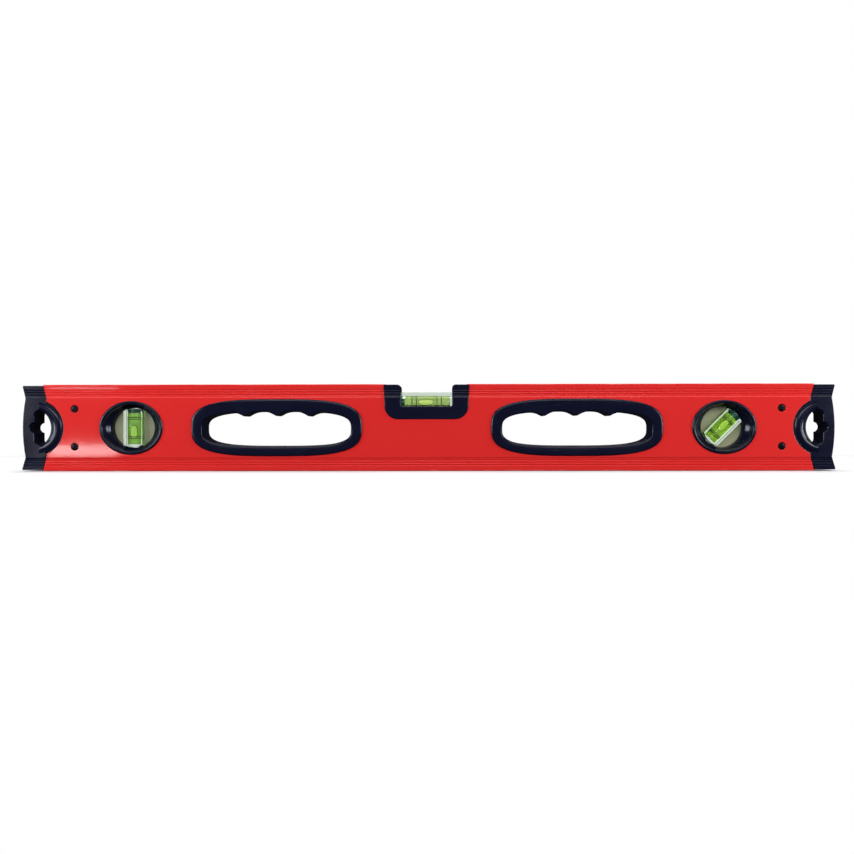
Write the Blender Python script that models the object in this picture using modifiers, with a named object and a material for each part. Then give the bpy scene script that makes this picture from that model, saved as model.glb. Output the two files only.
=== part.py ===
"""A 600 mm box-section spirit level: an aluminium beam with two hand holes and three bubble vials.

Frame: +X runs along the level, +Y from the front web to the rear one, and +Z up. The origin is
the middle of the measuring face that the level stands on. All lengths are in metres.
"""

import math

import bmesh
import bpy
from mathutils import Matrix, Vector

# Driving dimensions of the whole level
LENGTH = 0.600
HEIGHT = 0.064
WEB_Y = 0.012  # half the thickness across the webs
MID_Z = HEIGHT / 2
GAP = 0.0003  # clearance between pieces that touch
CUT = 0.020  # half the depth of a cutter that goes right through the level

# Beam: a box extrusion with flat webs and grooved bands along its top and bottom
WALL = 0.0017
FLANGE = 0.0025
BAND = 0.0098  # height of each grooved band
BAND_STEP = 0.0005  # how far the bands sit behind the webs
GROOVE_CENTRES = (0.0042, 0.0060, 0.0078)  # from the beam's outer edge
GROOVE_HALF_WIDTH = 0.0005
GROOVE_DEPTH = 0.0004
CORNER = 0.0006
INNER_Y = WEB_Y - WALL

# Where the beam ends and the end caps begin
CUT_OUTER_X = 0.2842
CUT_INNER_X = 0.2815
LOBE_X = 0.2890
LOBE_R = 0.0208

# End caps
CAP_INSET = 0.0008  # the caps stand a little inside the beam's outline
WAIST_X = 0.2972
WAIST_Z = 0.0218  # above and below the middle
BULGE = 0.0020
RING_END_X = 0.2872  # the rounded ring goes round the beam's side of the lobe only
RING_CREST_R = 0.0160
RING_PROUD = 0.0008
HANG_FLAT = 0.0010  # the hanging hole's flat side and the centre of its arc, from the lobe's centre
HANG_CENTRE = 0.0039
HANG_R = 0.0152
HANG_NICK_U = 0.0004  # the round nick for a nail
HANG_NICK_R = 0.0038
HANG_CORNER = 0.0040
HANG_CHAMFER = 0.0010
PLATE_Y = WEB_Y - 0.0001  # the flat face round the hanging hole
ARM_X = 0.2480  # the arms inside the beam end here
ARM_FAR_Z = 0.0290  # the arms lie between these heights above and below the middle
ARM_NEAR_Z = 0.0105

# Cap screws
SCREW_X = 0.2605
SCREW_Z = 0.0140  # above and below the middle
HEAD_R = 0.0026
HEAD_HEIGHT = 0.0015
SHANK_R = 0.0014
SHANK_LENGTH = 0.0075
RECESS_HALF_WIDTH = 0.00045
RECESS_HALF_LENGTH = 0.0016
RECESS_DEPTH = 0.0009

# Hand grips
GRIP_X = 0.1106
GRIP_HALF = (0.0630, 0.0211)
GRIP_POWER = 3.2
HOLE_HALF = (0.0548, 0.0127)
HOLE_POWER = 2.8
HOLE_Z = 0.0310
SCALLOP_PITCH = 0.0239
SCALLOP_DEPTH = 0.0036
SCALLOP_SOFTNESS = 0.10
SLEEVE_HALF = (0.0572, 0.0152)
TONGUE_HALF = (0.0562, 0.0140)
TONGUE_LENGTH = 0.0020

# End vials and the bezels round them
VIAL_X = 0.2185
BEZEL_HALF = (0.0236, 0.0199)
BEZEL_SLEEVE = (0.0210, 0.0174)
BEZEL_POINTS = 36
WINDOW_R = 0.0148
CARRIER_HALF = (0.0206, 0.0170)
CARRIER_THICKNESS = 0.0030
DISC_R = 0.0144
DISC_HALF_WIDTH = 0.0071
BLOCK_Y = 0.0070
ANGLE_TILT = math.radians(45)
END_BORE = {
    "radius": 0.0052,
    "waist": 0.0003,
    "block": (-0.0124, 0.0170),
    "liquid": (-0.0121, 0.0108),
    "plug": (0.0111, 0.0138),
}
END_BUBBLE = {"half_length": 0.0047, "half_width": 0.0026, "half_depth": 0.0016, "y": -0.0029}
PLUMB_BUBBLE_AT = -0.0030  # along the vial, from its middle
ANGLE_BUBBLE_AT = 0.0016

# Centre vial and its housing
HOUSING_TOP_Z = HEIGHT - 0.0004
HOUSING_TOP_X = 0.0316
HOUSING_LOW_X = 0.0309
HOUSING_FLOOR_Z = 0.0380
HOUSING_CORNER = 0.0100
NOTCH_X = 0.01895
NOTCH_FLOOR_Z = 0.0476
SHOULDER_R = 0.0026
NOTCH_CORNER = 0.0012
HOUSING_PROUD = 0.0007
LIP = 0.0016  # how far the housing's faces overlap the webs
CENTRE_BLOCK_X = 0.0227
CENTRE_BLOCK_Z = (0.0444, 0.0580)
CENTRE_BORE_Z = 0.0508
REFLECTOR_THICKNESS = 0.0008
RETAINER_FOOT_Z = 0.0400
CENTRE_BORE = {
    "radius": 0.0047,
    "waist": 0.0003,
    "block": (-0.0176, 0.0240),
    "liquid": (-0.0173, 0.0162),
    "plug": (0.0165, 0.0224),
}
CENTRE_BUBBLE = {"half_length": 0.0055, "half_width": 0.0021, "half_depth": 0.0014, "y": -0.0028}
CENTRE_BUBBLE_AT = 0.0006

# Materials: colour, roughness, metallic
FINISHES = {
    "red_paint": ((0.69, 0.027, 0.024), 0.30, 0.0),
    "black_plastic": ((0.012, 0.013, 0.024), 0.28, 0.0),
    "black_steel": ((0.03, 0.03, 0.035), 0.35, 1.0),
    "clear_acrylic": ((0.80, 0.90, 0.75), 0.05, 0.0),
    "green_liquid": ((0.38, 0.72, 0.06), 0.05, 0.0),
    "bubble_gas": ((0.75, 0.95, 0.45), 0.05, 0.0),
    "teal_plug": ((0.005, 0.075, 0.05), 0.30, 0.0),
    "olive_plastic": ((0.30, 0.31, 0.20), 0.50, 0.0),
    "white_plastic": ((0.80, 0.82, 0.78), 0.50, 0.0),
}


# ---------------------------------------------------------------- scene, materials and objects


def clear_scene():
    for obj in list(bpy.data.objects):
        bpy.data.objects.remove(obj, do_unlink=True)


def new_collection(name):
    collection = bpy.data.collections.new(name)
    bpy.context.scene.collection.children.link(collection)
    return collection


def finish_material(name):
    material = bpy.data.materials.get(name)
    if material:
        return material
    colour, roughness, metallic = FINISHES[name]
    material = bpy.data.materials.new(name)
    material.use_nodes = True
    shader = material.node_tree.nodes["Principled BSDF"]
    shader.inputs["Base Color"].default_value = (*colour, 1.0)
    shader.inputs["Roughness"].default_value = roughness
    shader.inputs["Metallic"].default_value = metallic
    return material


def add_object(name, data, collection, finish=None):
    obj = bpy.data.objects.new(name, data)
    collection.objects.link(obj)
    if finish:
        data.materials.clear()
        data.materials.append(finish_material(finish))
    return obj


def as_helper(obj):
    """Cutters and guides stay out of the render."""
    obj.hide_render = True
    obj.display_type = "WIRE"
    return obj


def boolean(obj, operation, cutter):
    modifier = obj.modifiers.new(operation.title(), "BOOLEAN")
    modifier.operation = operation
    modifier.object = cutter
    modifier.solver = "EXACT"
    return modifier


def evaluated_mesh(obj):
    """A new mesh with the object's modifiers applied."""
    bpy.context.view_layer.update()
    graph = bpy.context.evaluated_depsgraph_get()
    return bpy.data.meshes.new_from_object(obj.evaluated_get(graph), depsgraph=graph)


def shade(mesh, degrees=35):
    mesh.shade_smooth()
    mesh.set_sharp_from_angle(angle=math.radians(degrees))


# ---------------------------------------------------------------- solids

ALONG_Y = Matrix(((1, 0, 0, 0), (0, 0, -1, 0), (0, 1, 0, 0), (0, 0, 0, 1)))  # outline in XZ
ALONG_X = Matrix(((0, 0, 1, 0), (1, 0, 0, 0), (0, 1, 0, 0), (0, 0, 0, 1)))  # outline in YZ


def extruded(name, outlines, half_depth, direction, collection, finish=None):
    """A flat outline, with any holes in it, extruded half_depth to each side of its plane."""
    curve = bpy.data.curves.new(name, "CURVE")
    curve.dimensions = "2D"
    curve.fill_mode = "BOTH"
    curve.extrude = half_depth
    for points in outlines:
        spline = curve.splines.new("POLY")
        spline.points.add(len(points) - 1)
        for target, (u, v) in zip(spline.points, points):
            target.co = (u, v, 0, 1)
        spline.use_cyclic_u = True
    guide = bpy.data.objects.new(name + "_curve", curve)
    collection.objects.link(guide)
    guide.matrix_world = direction
    mesh = evaluated_mesh(guide)
    weld(mesh)
    shade(mesh)
    bpy.data.objects.remove(guide)
    obj = add_object(name, mesh, collection, finish)
    obj.matrix_world = direction
    return obj


def weld(mesh, distance=1e-6):
    bm = bmesh.new()
    bm.from_mesh(mesh)
    bmesh.ops.remove_doubles(bm, verts=bm.verts, dist=distance)
    bmesh.ops.recalc_face_normals(bm, faces=bm.faces)
    bm.to_mesh(mesh)
    bm.free()


def grown(half, by):
    """Half sizes, each larger by the same amount."""
    return (half[0] + by, half[1] + by)


def box(name, low, high, collection, finish=None, bevel=0.0):
    mesh = bpy.data.meshes.new(name)
    bm = bmesh.new()
    bmesh.ops.create_cube(bm, size=1.0)
    size = Vector(high) - Vector(low)
    centre = (Vector(high) + Vector(low)) / 2
    bmesh.ops.scale(bm, vec=size, verts=bm.verts)
    bmesh.ops.translate(bm, vec=centre, verts=bm.verts)
    bm.to_mesh(mesh)
    bm.free()
    obj = add_object(name, mesh, collection, finish)
    if bevel:
        modifier = obj.modifiers.new("Edges", "BEVEL")
        modifier.width = bevel
        modifier.segments = 1
    return obj


def turned(name, profile, matrix, collection, finish=None, steps=16):
    """A solid turned about its own Z. The profile runs from its top on the axis, down the outer
    side at +X, to its foot on the axis."""
    mesh = bpy.data.meshes.new(name)
    points = [(r, 0.0, z) for r, z in profile]
    mesh.from_pydata(points, [(i, i + 1) for i in range(len(points) - 1)], [])
    obj = add_object(name, mesh, collection, finish)
    obj.matrix_world = matrix
    screw = obj.modifiers.new("Turn", "SCREW")
    screw.axis = "Z"
    screw.steps = steps
    screw.render_steps = steps
    screw.use_merge_vertices = True
    screw.merge_threshold = 0.00001
    return obj


def loft(name, rings, collection, finish=None):
    """A closed ring-shaped solid through outlines of equal length. The last outline joins the first."""
    count = len(rings[0])
    points = [point for ring in rings for point in ring]
    faces = []
    for i in range(len(rings)):
        this_ring = i * count
        next_ring = (i + 1) % len(rings) * count
        for j in range(count):
            k = (j + 1) % count
            faces.append((this_ring + j, this_ring + k, next_ring + k, next_ring + j))
    mesh = bpy.data.meshes.new(name)
    mesh.from_pydata(points, [], faces)
    weld(mesh)
    shade(mesh, 50)
    return add_object(name, mesh, collection, finish)


def at_depth(outline, y, centre=(0.0, 0.0)):
    """An XZ outline as points at depth y."""
    return [(u + centre[0], y, v + centre[1]) for u, v in outline]


def mirrored_front_to_rear(rings):
    return [[(x, -y, z) for x, y, z in ring] for ring in rings]


# ---------------------------------------------------------------- outlines


def arc(centre, radius, start, end, steps):
    """Points on an arc between two angles in degrees."""
    angles = [math.radians(start + (end - start) * i / steps) for i in range(steps + 1)]
    return [(centre[0] + radius * math.cos(a), centre[1] + radius * math.sin(a)) for a in angles]


def ellipse(half, count):
    angles = [2 * math.pi * i / count for i in range(count)]
    return [(half[0] * math.cos(a), half[1] * math.sin(a)) for a in angles]


def beam_side(offset):
    """The right-hand side of the beam's section, from bottom to top, as (y, z)."""
    band = WEB_Y - BAND_STEP + offset
    web = WEB_Y + offset
    lower = [(band - CORNER, -offset), (band, CORNER - offset)]
    for centre in GROOVE_CENTRES:
        lower.append((band, centre - GROOVE_HALF_WIDTH))
        lower.append((band - GROOVE_DEPTH, centre))
        lower.append((band, centre + GROOVE_HALF_WIDTH))
    lower.append((band, BAND - BAND_STEP))
    lower.append((web, BAND))
    upper = [(y, HEIGHT - z) for y, z in reversed(lower)]
    return lower + upper


def beam_section(offset=0.0):
    right = beam_side(offset)
    left = [(-y, z) for y, z in reversed(right)]
    return right + left


def joint_line(gap, radius=LOBE_R):
    """Where the right end of the beam meets the cap, from bottom to top, moved outwards by gap.
    The lobe in the middle has the given radius."""
    inner = CUT_INNER_X + gap
    reach = math.degrees(math.acos((LOBE_X - inner) / radius))
    lobe = arc((LOBE_X, MID_Z), radius, 180 + reach, 180 - reach, 18)
    margin = 0.001  # the line runs on past the beam's edges
    outer = CUT_OUTER_X + gap + (CUT_OUTER_X - CUT_INNER_X) * margin / BAND
    bottom = [(outer, -margin), (inner, BAND)]
    top = [(inner, HEIGHT - BAND), (outer, HEIGHT + margin)]
    return bottom + lobe + top


def cap_end():
    """The flared outer end of the right cap, from top to bottom."""
    low = CAP_INSET
    high = HEIGHT - CAP_INSET
    rounding = 0.0010
    tip = LENGTH / 2
    heights = [WAIST_Z * (1 - i / 5) for i in range(11)]
    bulge = [(WAIST_X + BULGE * (1 - (z / WAIST_Z) ** 2), MID_Z + z) for z in heights]
    top = [(tip - rounding, high), (tip - rounding / 2, high - rounding)]
    bottom = [(tip, low + rounding), (tip - rounding / 2, low)]
    return top + bulge + bottom


def hang_hole(offset):
    """The D-shaped hanging hole about the lobe's centre, widened by offset. Its flat side and the
    round nick for a nail face +u."""
    flat = HANG_FLAT + offset
    radius = HANG_R + offset
    corner = HANG_CORNER + offset
    corner_u = flat - corner
    corner_v = math.sqrt((radius - corner) ** 2 - (corner_u - HANG_CENTRE) ** 2)
    turn = math.degrees(math.atan2(corner_v, corner_u - HANG_CENTRE))
    upper_corner = arc((corner_u, corner_v), corner, 0, turn, 4)
    lower_corner = [(u, -v) for u, v in reversed(upper_corner)]
    round_side = arc((HANG_CENTRE, 0), radius, turn, 360 - turn, 12)[1:-1]
    nick = HANG_NICK_R + offset
    nick_turn = math.degrees(math.acos((flat - HANG_NICK_U) / nick))
    nick_arc = arc((HANG_NICK_U, 0), nick, -nick_turn, nick_turn, 6)
    return upper_corner + round_side + lower_corner + nick_arc


def superellipse_point(half, power, s):
    """The point at x = half[0] * sin(s) on the upper side of a superellipse."""
    x = math.sin(s)
    z = (1 - min(1.0, abs(x)) ** power) ** (1 / power)
    return half[0] * x, half[1] * z


def even_stations(count):
    """Values of s that space points evenly along the grip's upper or lower edge."""
    fine = 2000
    values = [-math.pi / 2 + math.pi * i / fine for i in range(fine + 1)]
    points = [superellipse_point(GRIP_HALF, GRIP_POWER, s) for s in values]
    lengths = [0.0]
    for a, b in zip(points, points[1:]):
        lengths.append(lengths[-1] + math.dist(a, b))
    stations = []
    index = 0
    for i in range(count + 1):
        while index < fine and lengths[index] < lengths[-1] * i / count:
            index += 1
        stations.append(values[index])
    return stations


def grip_outline(half, power, centre_z, scalloped=False, upper=34, lower=14):
    """A superellipse about (0, centre_z), with finger scallops along its top if asked for."""
    points = []
    for s in even_stations(upper):
        x, z = superellipse_point(half, power, s)
        points.append((x, centre_z + z - (scallop(x) if scalloped else 0.0)))
    for s in reversed(even_stations(lower)[1:-1]):
        x, z = superellipse_point(half, power, s)
        points.append((x, centre_z - z))
    return points


def scallop(x):
    """How far the hand hole's upper edge dips at x: cusps at the middle and one pitch to each side."""
    if abs(x) > 1.5 * SCALLOP_PITCH:
        return 0.0
    wave = math.sin(math.pi * x / SCALLOP_PITCH)
    return SCALLOP_DEPTH * (1 - math.sqrt(wave * wave + SCALLOP_SOFTNESS**2)) / (1 - SCALLOP_SOFTNESS)


def housing_outline():
    """The U-shaped centre housing seen from the front."""
    low = (HOUSING_LOW_X - HOUSING_CORNER, HOUSING_FLOOR_Z + HOUSING_CORNER)
    low_corner = arc(low, HOUSING_CORNER, 0, -90, 6)
    floor_end = (NOTCH_X - NOTCH_CORNER, NOTCH_FLOOR_Z + NOTCH_CORNER)
    notch_corner = arc(floor_end, NOTCH_CORNER, -90, 0, 3)
    shoulder = arc((NOTCH_X + SHOULDER_R, HOUSING_TOP_Z - SHOULDER_R), SHOULDER_R, 180, 90, 5)
    right = notch_corner + shoulder + [(HOUSING_TOP_X, HOUSING_TOP_Z)] + low_corner
    left = [(-x, z) for x, z in reversed(right)]
    return right + left


def notch_outline(inset):
    """The notch in the beam's top that the housing drops into, inset from the housing's edge."""
    radius = HOUSING_CORNER - inset
    side = HOUSING_LOW_X - inset
    floor = HOUSING_FLOOR_Z + inset
    corner = arc((side - radius, floor + radius), radius, 0, -90, 6)
    right = [(HOUSING_TOP_X - inset, HEIGHT + CUT)] + corner
    left = [(-x, z) for x, z in reversed(right)]
    return right + left


def disc_outline(offset):
    """An end vial's block seen from the front: a disc with two flats, its axis upright."""
    radius = DISC_R + offset
    half_width = DISC_HALF_WIDTH + offset
    reach = math.degrees(math.asin(half_width / radius))
    upper = arc((0, 0), radius, 90 - reach, 90 + reach, 6)
    lower = arc((0, 0), radius, 270 - reach, 270 + reach, 6)
    return upper + lower


# ---------------------------------------------------------------- beam


def make_beam(model, cutters):
    inner = [
        (INNER_Y, FLANGE),
        (INNER_Y, HEIGHT - FLANGE),
        (-INNER_Y, HEIGHT - FLANGE),
        (-INNER_Y, FLANGE),
    ]
    beam = extruded("beam", [beam_section(), inner], CUT_OUTER_X + 0.0005, ALONG_X, model, "red_paint")
    beyond = [(LENGTH, HEIGHT + 0.001), (LENGTH, -0.001)]
    for side, name in ((1, "right"), (-1, "left")):
        line = [(side * x, z) for x, z in joint_line(0.0) + beyond]
        boolean(beam, "DIFFERENCE", extruded(name + "_end_cut", [line], CUT, ALONG_Y, cutters))
    hand_hole = grip_outline(grown(SLEEVE_HALF, 2 * GAP), GRIP_POWER, HOLE_Z, upper=16, lower=16)
    bezel_hole = ellipse(grown(BEZEL_SLEEVE, GAP), 32)
    for side, name in ((1, "right"), (-1, "left")):
        hole = [(x + side * GRIP_X, z) for x, z in hand_hole]
        boolean(beam, "DIFFERENCE", extruded(name + "_hand_cut", [hole], CUT, ALONG_Y, cutters))
        round_cut = [(x + side * VIAL_X, z + MID_Z) for x, z in bezel_hole]
        boolean(beam, "DIFFERENCE", extruded(name + "_vial_cut", [round_cut], CUT, ALONG_Y, cutters))
        for level, z in (("upper", MID_Z + SCREW_Z), ("lower", MID_Z - SCREW_Z)):
            screw_hole = arc((side * SCREW_X, z), HEAD_R + GAP, 0, 330, 11)
            cut_name = f"{name}_{level}_screw_cut"
            boolean(beam, "DIFFERENCE", extruded(cut_name, [screw_hole], CUT, ALONG_Y, cutters))
    notch = extruded("notch_cut", [notch_outline(LIP - GAP)], CUT, ALONG_Y, cutters)
    boolean(beam, "DIFFERENCE", notch)


# ---------------------------------------------------------------- end caps and their screws


def make_cap(name, side, model, cutters):
    """One end cap: an outer body shaped like the beam, a round lobe, and two arms inside the beam."""
    def placed(outline):
        return [(side * x, z) for x, z in outline]

    edge = joint_line(GAP, RING_CREST_R)
    inner_edge = [(x, max(CAP_INSET, min(HEIGHT - CAP_INSET, z))) for x, z in edge]
    body = extruded(name, [placed(inner_edge + cap_end())], CUT, ALONG_Y, model, "black_plastic")
    section = beam_section(PLATE_Y - WEB_Y)
    boolean(body, "INTERSECT", extruded(name + "_section", [section], LENGTH, ALONG_X, cutters))
    boolean(body, "UNION", lobe_ring(name, side, cutters))
    arm_y = INNER_Y - GAP
    root_x = LOBE_X - 0.002
    for level, sign in (("upper", 1), ("lower", -1)):
        ends = sorted((MID_Z + sign * ARM_NEAR_Z, MID_Z + sign * ARM_FAR_Z))
        reach = sorted((side * ARM_X, side * root_x))
        arm_low = (reach[0], -arm_y, ends[0])
        arm_high = (reach[1], arm_y, ends[1])
        boolean(body, "UNION", box(f"{name}_{level}_arm", arm_low, arm_high, cutters))
    boolean(body, "DIFFERENCE", hang_cutter(name, side, cutters))
    for level, z in (("upper", MID_Z + SCREW_Z), ("lower", MID_Z - SCREW_Z)):
        pilot = arc((side * SCREW_X, z), SHANK_R + GAP, 0, 315, 7)
        boolean(body, "DIFFERENCE", extruded(f"{name}_{level}_pilot", [pilot], CUT, ALONG_Y, cutters))
    return body


def lobe_ring(name, side, cutters):
    """The rounded rim round the beam's side of the hanging hole, on both faces of the cap."""
    rim = LOBE_R - GAP
    crest = WEB_Y + RING_PROUD
    half_profile = [
        (0.0, crest - 0.0030),
        (RING_CREST_R - 0.0035, crest - 0.0030),
        (RING_CREST_R - 0.0025, crest - 0.0008),
        (RING_CREST_R - 0.0012, crest - 0.0002),
        (RING_CREST_R, crest),
        (RING_CREST_R + 0.0018, crest - 0.0002),
        (rim - 0.0010, crest - 0.0007),
        (rim, crest - 0.0016),
    ]
    profile = half_profile + [(r, -y) for r, y in reversed(half_profile)]
    matrix = Matrix.Translation((side * LOBE_X, 0, MID_Z)) @ Matrix.Rotation(math.pi / 2, 4, "X")
    ring = turned(name + "_ring", profile, matrix, cutters, steps=32)
    boolean(ring, "DIFFERENCE", ring_end_cut(name, side, cutters))
    return ring


def ring_end_cut(name, side, cutters):
    """Everything beyond the slope that ends the ring, as an outline seen from above."""
    slope = 0.0008
    face = WEB_Y + RING_PROUD
    front = [(RING_END_X + slope, face - 0.0030), (RING_END_X - slope, face + 0.001)]
    rear = [(x, -y) for x, y in reversed(front)]
    outline = [(side * x, y) for x, y in front + [(LENGTH, CUT), (LENGTH, -CUT)] + rear]
    return extruded(name + "_ring_end", [outline], HEIGHT, Matrix.Identity(4), cutters)


def hang_cutter(name, side, cutters):
    """The hanging hole with a chamfer at each face."""
    inner = PLATE_Y - HANG_CHAMFER
    outer = WEB_Y + 2 * RING_PROUD
    depths = ((-outer, outer - inner), (-inner, 0.0), (inner, 0.0), (outer, outer - inner))
    sections = []
    for y, offset in depths:
        outline = [(side * u, v) for u, v in hang_hole(offset)]
        sections.append(at_depth(outline, y, (side * LOBE_X, MID_Z)))
    count = len(sections[0])
    points = [point for section in sections for point in section]
    faces = [tuple(range(count)), tuple(range(3 * count, 4 * count))]
    for i in range(3):
        for j in range(count):
            k = (j + 1) % count
            faces.append((i * count + j, i * count + k, (i + 1) * count + k, (i + 1) * count + j))
    mesh = bpy.data.meshes.new(name + "_hang_cut")
    mesh.from_pydata(points, [], faces)
    weld(mesh)
    return add_object(name + "_hang_cut", mesh, cutters)


def screw_mesh(cutters):
    """A pan-head screw with a cross recess, pointing down its own -Z."""
    rounding = 0.0006
    tip = 0.0015
    profile = [
        (0.0, HEAD_HEIGHT),
        (HEAD_R - rounding, HEAD_HEIGHT),
        (HEAD_R, HEAD_HEIGHT - rounding),
        (HEAD_R, 0.0),
        (SHANK_R, 0.0),
        (SHANK_R, tip - SHANK_LENGTH),
        (0.0, -SHANK_LENGTH),
    ]
    pattern = turned("screw_pattern", profile, Matrix.Identity(4), cutters, steps=12)
    floor = HEAD_HEIGHT - RECESS_DEPTH
    above = 2 * HEAD_HEIGHT
    for name, u, v in (
        ("recess_across", RECESS_HALF_LENGTH, RECESS_HALF_WIDTH),
        ("recess_along", RECESS_HALF_WIDTH, RECESS_HALF_LENGTH),
    ):
        boolean(pattern, "DIFFERENCE", box(name, (-u, -v, floor), (u, v, above), cutters))
    mesh = evaluated_mesh(pattern)
    weld(mesh)
    shade(mesh)
    mesh.materials.clear()
    mesh.materials.append(finish_material("black_steel"))
    return mesh


def make_screws(model, cutters):
    mesh = screw_mesh(cutters)
    seat = INNER_Y  # the heads rest on the caps' arms, inside the holes in the webs
    for side, end in ((-1, "left"), (1, "right")):
        for level, z in (("upper", MID_Z + SCREW_Z), ("lower", MID_Z - SCREW_Z)):
            for face, sign in (("front", -1), ("rear", 1)):
                screw = bpy.data.objects.new(f"{end}_cap_screw_{level}_{face}", mesh)
                model.objects.link(screw)
                turn = Matrix.Rotation(-sign * math.pi / 2, 4, "X")
                screw.matrix_world = Matrix.Translation((side * SCREW_X, sign * seat, z)) @ turn


# ---------------------------------------------------------------- hand grips


def grip_rings(centre_x):
    """The front shell's outlines, from the flange's rim over its crest into the hand hole."""
    def flange(inset):
        return grip_outline(grown(GRIP_HALF, -inset), GRIP_POWER, MID_Z)

    def opening(offset):
        return grip_outline(grown(HOLE_HALF, offset), HOLE_POWER, HOLE_Z, scalloped=True)

    seat = -WEB_Y - 0.5 * GAP
    outer = [
        (flange(0.0), seat),
        (flange(0.0002), seat - 0.0006),
        (flange(0.0014), seat - 0.0013),
        (flange(0.0034), seat - 0.0014),
        (opening(0.0012), seat - 0.0008),
        (opening(0.0), seat + 0.0008),
    ]
    return [at_depth(outline, y, (centre_x, 0.0)) for outline, y in outer]


def make_grips(model):
    sleeve = grip_outline(SLEEVE_HALF, GRIP_POWER, HOLE_Z)
    tongue = grip_outline(TONGUE_HALF, GRIP_POWER, HOLE_Z)
    rebate = grip_outline(grown(TONGUE_HALF, GAP), GRIP_POWER, HOLE_Z)
    opening = grip_outline(HOLE_HALF, HOLE_POWER, HOLE_Z, scalloped=True)
    seat = -WEB_Y - 0.5 * GAP
    parting = 0.5 * GAP
    for side, name in ((-1, "left"), (1, "right")):
        centre = (side * GRIP_X, 0.0)
        face = grip_rings(side * GRIP_X)
        front_inner = [
            (opening, TONGUE_LENGTH - parting),
            (tongue, TONGUE_LENGTH - parting),
            (tongue, -parting),
            (sleeve, -parting),
            (sleeve, seat),
        ]
        rear_inner = [
            (opening, -TONGUE_LENGTH - parting),
            (rebate, -TONGUE_LENGTH - parting),
            (rebate, -parting),
            (sleeve, -parting),
            (sleeve, seat),
        ]
        front = face + [at_depth(outline, y, centre) for outline, y in front_inner]
        rear = face + [at_depth(outline, y, centre) for outline, y in rear_inner]
        loft(name + "_grip_front", front, model, "black_plastic")
        loft(name + "_grip_rear", mirrored_front_to_rear(rear), model, "black_plastic")


# ---------------------------------------------------------------- end vials


def bezel_rings(centre_x):
    """A deep funnel from an oval flange on the web to the round window at the carrier."""
    seat = -WEB_Y - 0.5 * GAP
    bottom = -CARRIER_THICKNESS / 2 - GAP

    def flange(inset):
        return grown(BEZEL_HALF, -inset)

    stages = [
        (flange(0.0), seat),
        (flange(0.0003), seat - 0.0006),
        (flange(0.0012), seat - 0.0010),
        (flange(0.0024), seat - 0.0004),
        ((0.0188, 0.0168), -0.0088),
        ((0.0164, 0.0157), -0.0055),
        ((WINDOW_R, WINDOW_R), bottom),
        (BEZEL_SLEEVE, bottom),
        (BEZEL_SLEEVE, seat),
    ]
    return [at_depth(ellipse(half, BEZEL_POINTS), y, (centre_x, MID_Z)) for half, y in stages]


def barrel(radius, low, high, waist, steps=4):
    """The profile of a barrel-shaped bore, top to bottom, narrowing by waist towards its ends."""
    middle = (high + low) / 2
    half = (high - low) / 2
    heights = [high - (high - low) * i / steps for i in range(steps + 1)]
    side = [(radius - waist * ((z - middle) / half) ** 2, z) for z in heights]
    return [(0.0, high)] + side + [(0.0, low)]


def bubble_profile(half_length, steps=8):
    angles = [math.pi * i / steps for i in range(steps + 1)]
    return [(math.sin(a), half_length * math.cos(a)) for a in angles]


def stadium(half_width, half_length, steps=4):
    """A slot's outline: straight sides and round ends."""
    upper = arc((0, half_length - half_width), half_width, 0, 180, steps)
    lower = arc((0, half_width - half_length), half_width, 180, 360, steps)
    return upper + lower


def make_vial_contents(name, frame, bore, bubble, bubble_at, model, cutters):
    """The liquid, the bubble in its channel, and the plug. The vial's axis is the frame's own Z,
    and its front is the frame's -Y."""
    low, high = bore["liquid"]
    middle = (low + high) / 2
    sides = barrel(bore["radius"] - GAP, low, high, bore["waist"])
    liquid = turned(name + "_liquid", sides, frame, model, "green_liquid")

    # The bubble's channel reaches out through the liquid's front.
    outline = stadium(bubble["half_width"] + GAP, high - middle - GAP)
    reach = bore["radius"] / 2
    channel_y = bubble["y"] + bubble["half_depth"] + GAP - reach
    channel = extruded(name + "_channel", [outline], reach, ALONG_Y, cutters)
    channel.matrix_world = frame @ Matrix.Translation((0, channel_y, middle)) @ ALONG_Y
    boolean(liquid, "DIFFERENCE", channel)

    place = Matrix.Translation((0, bubble["y"], bubble_at))
    girth = Matrix.Diagonal((bubble["half_width"], bubble["half_depth"], 1, 1))
    profile = bubble_profile(bubble["half_length"])
    turned(name + "_bubble", profile, frame @ place @ girth, model, "bubble_gas", steps=12)

    foot, head = bore["plug"]
    plug_r = bore["radius"] - bore["waist"] - GAP
    chamfer = 0.0004
    profile = [
        (0.0, head),
        (plug_r, head),
        (plug_r, foot + chamfer),
        (plug_r - chamfer, foot),
        (0.0, foot),
    ]
    turned(name + "_plug", profile, frame, model, "teal_plug")


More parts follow.
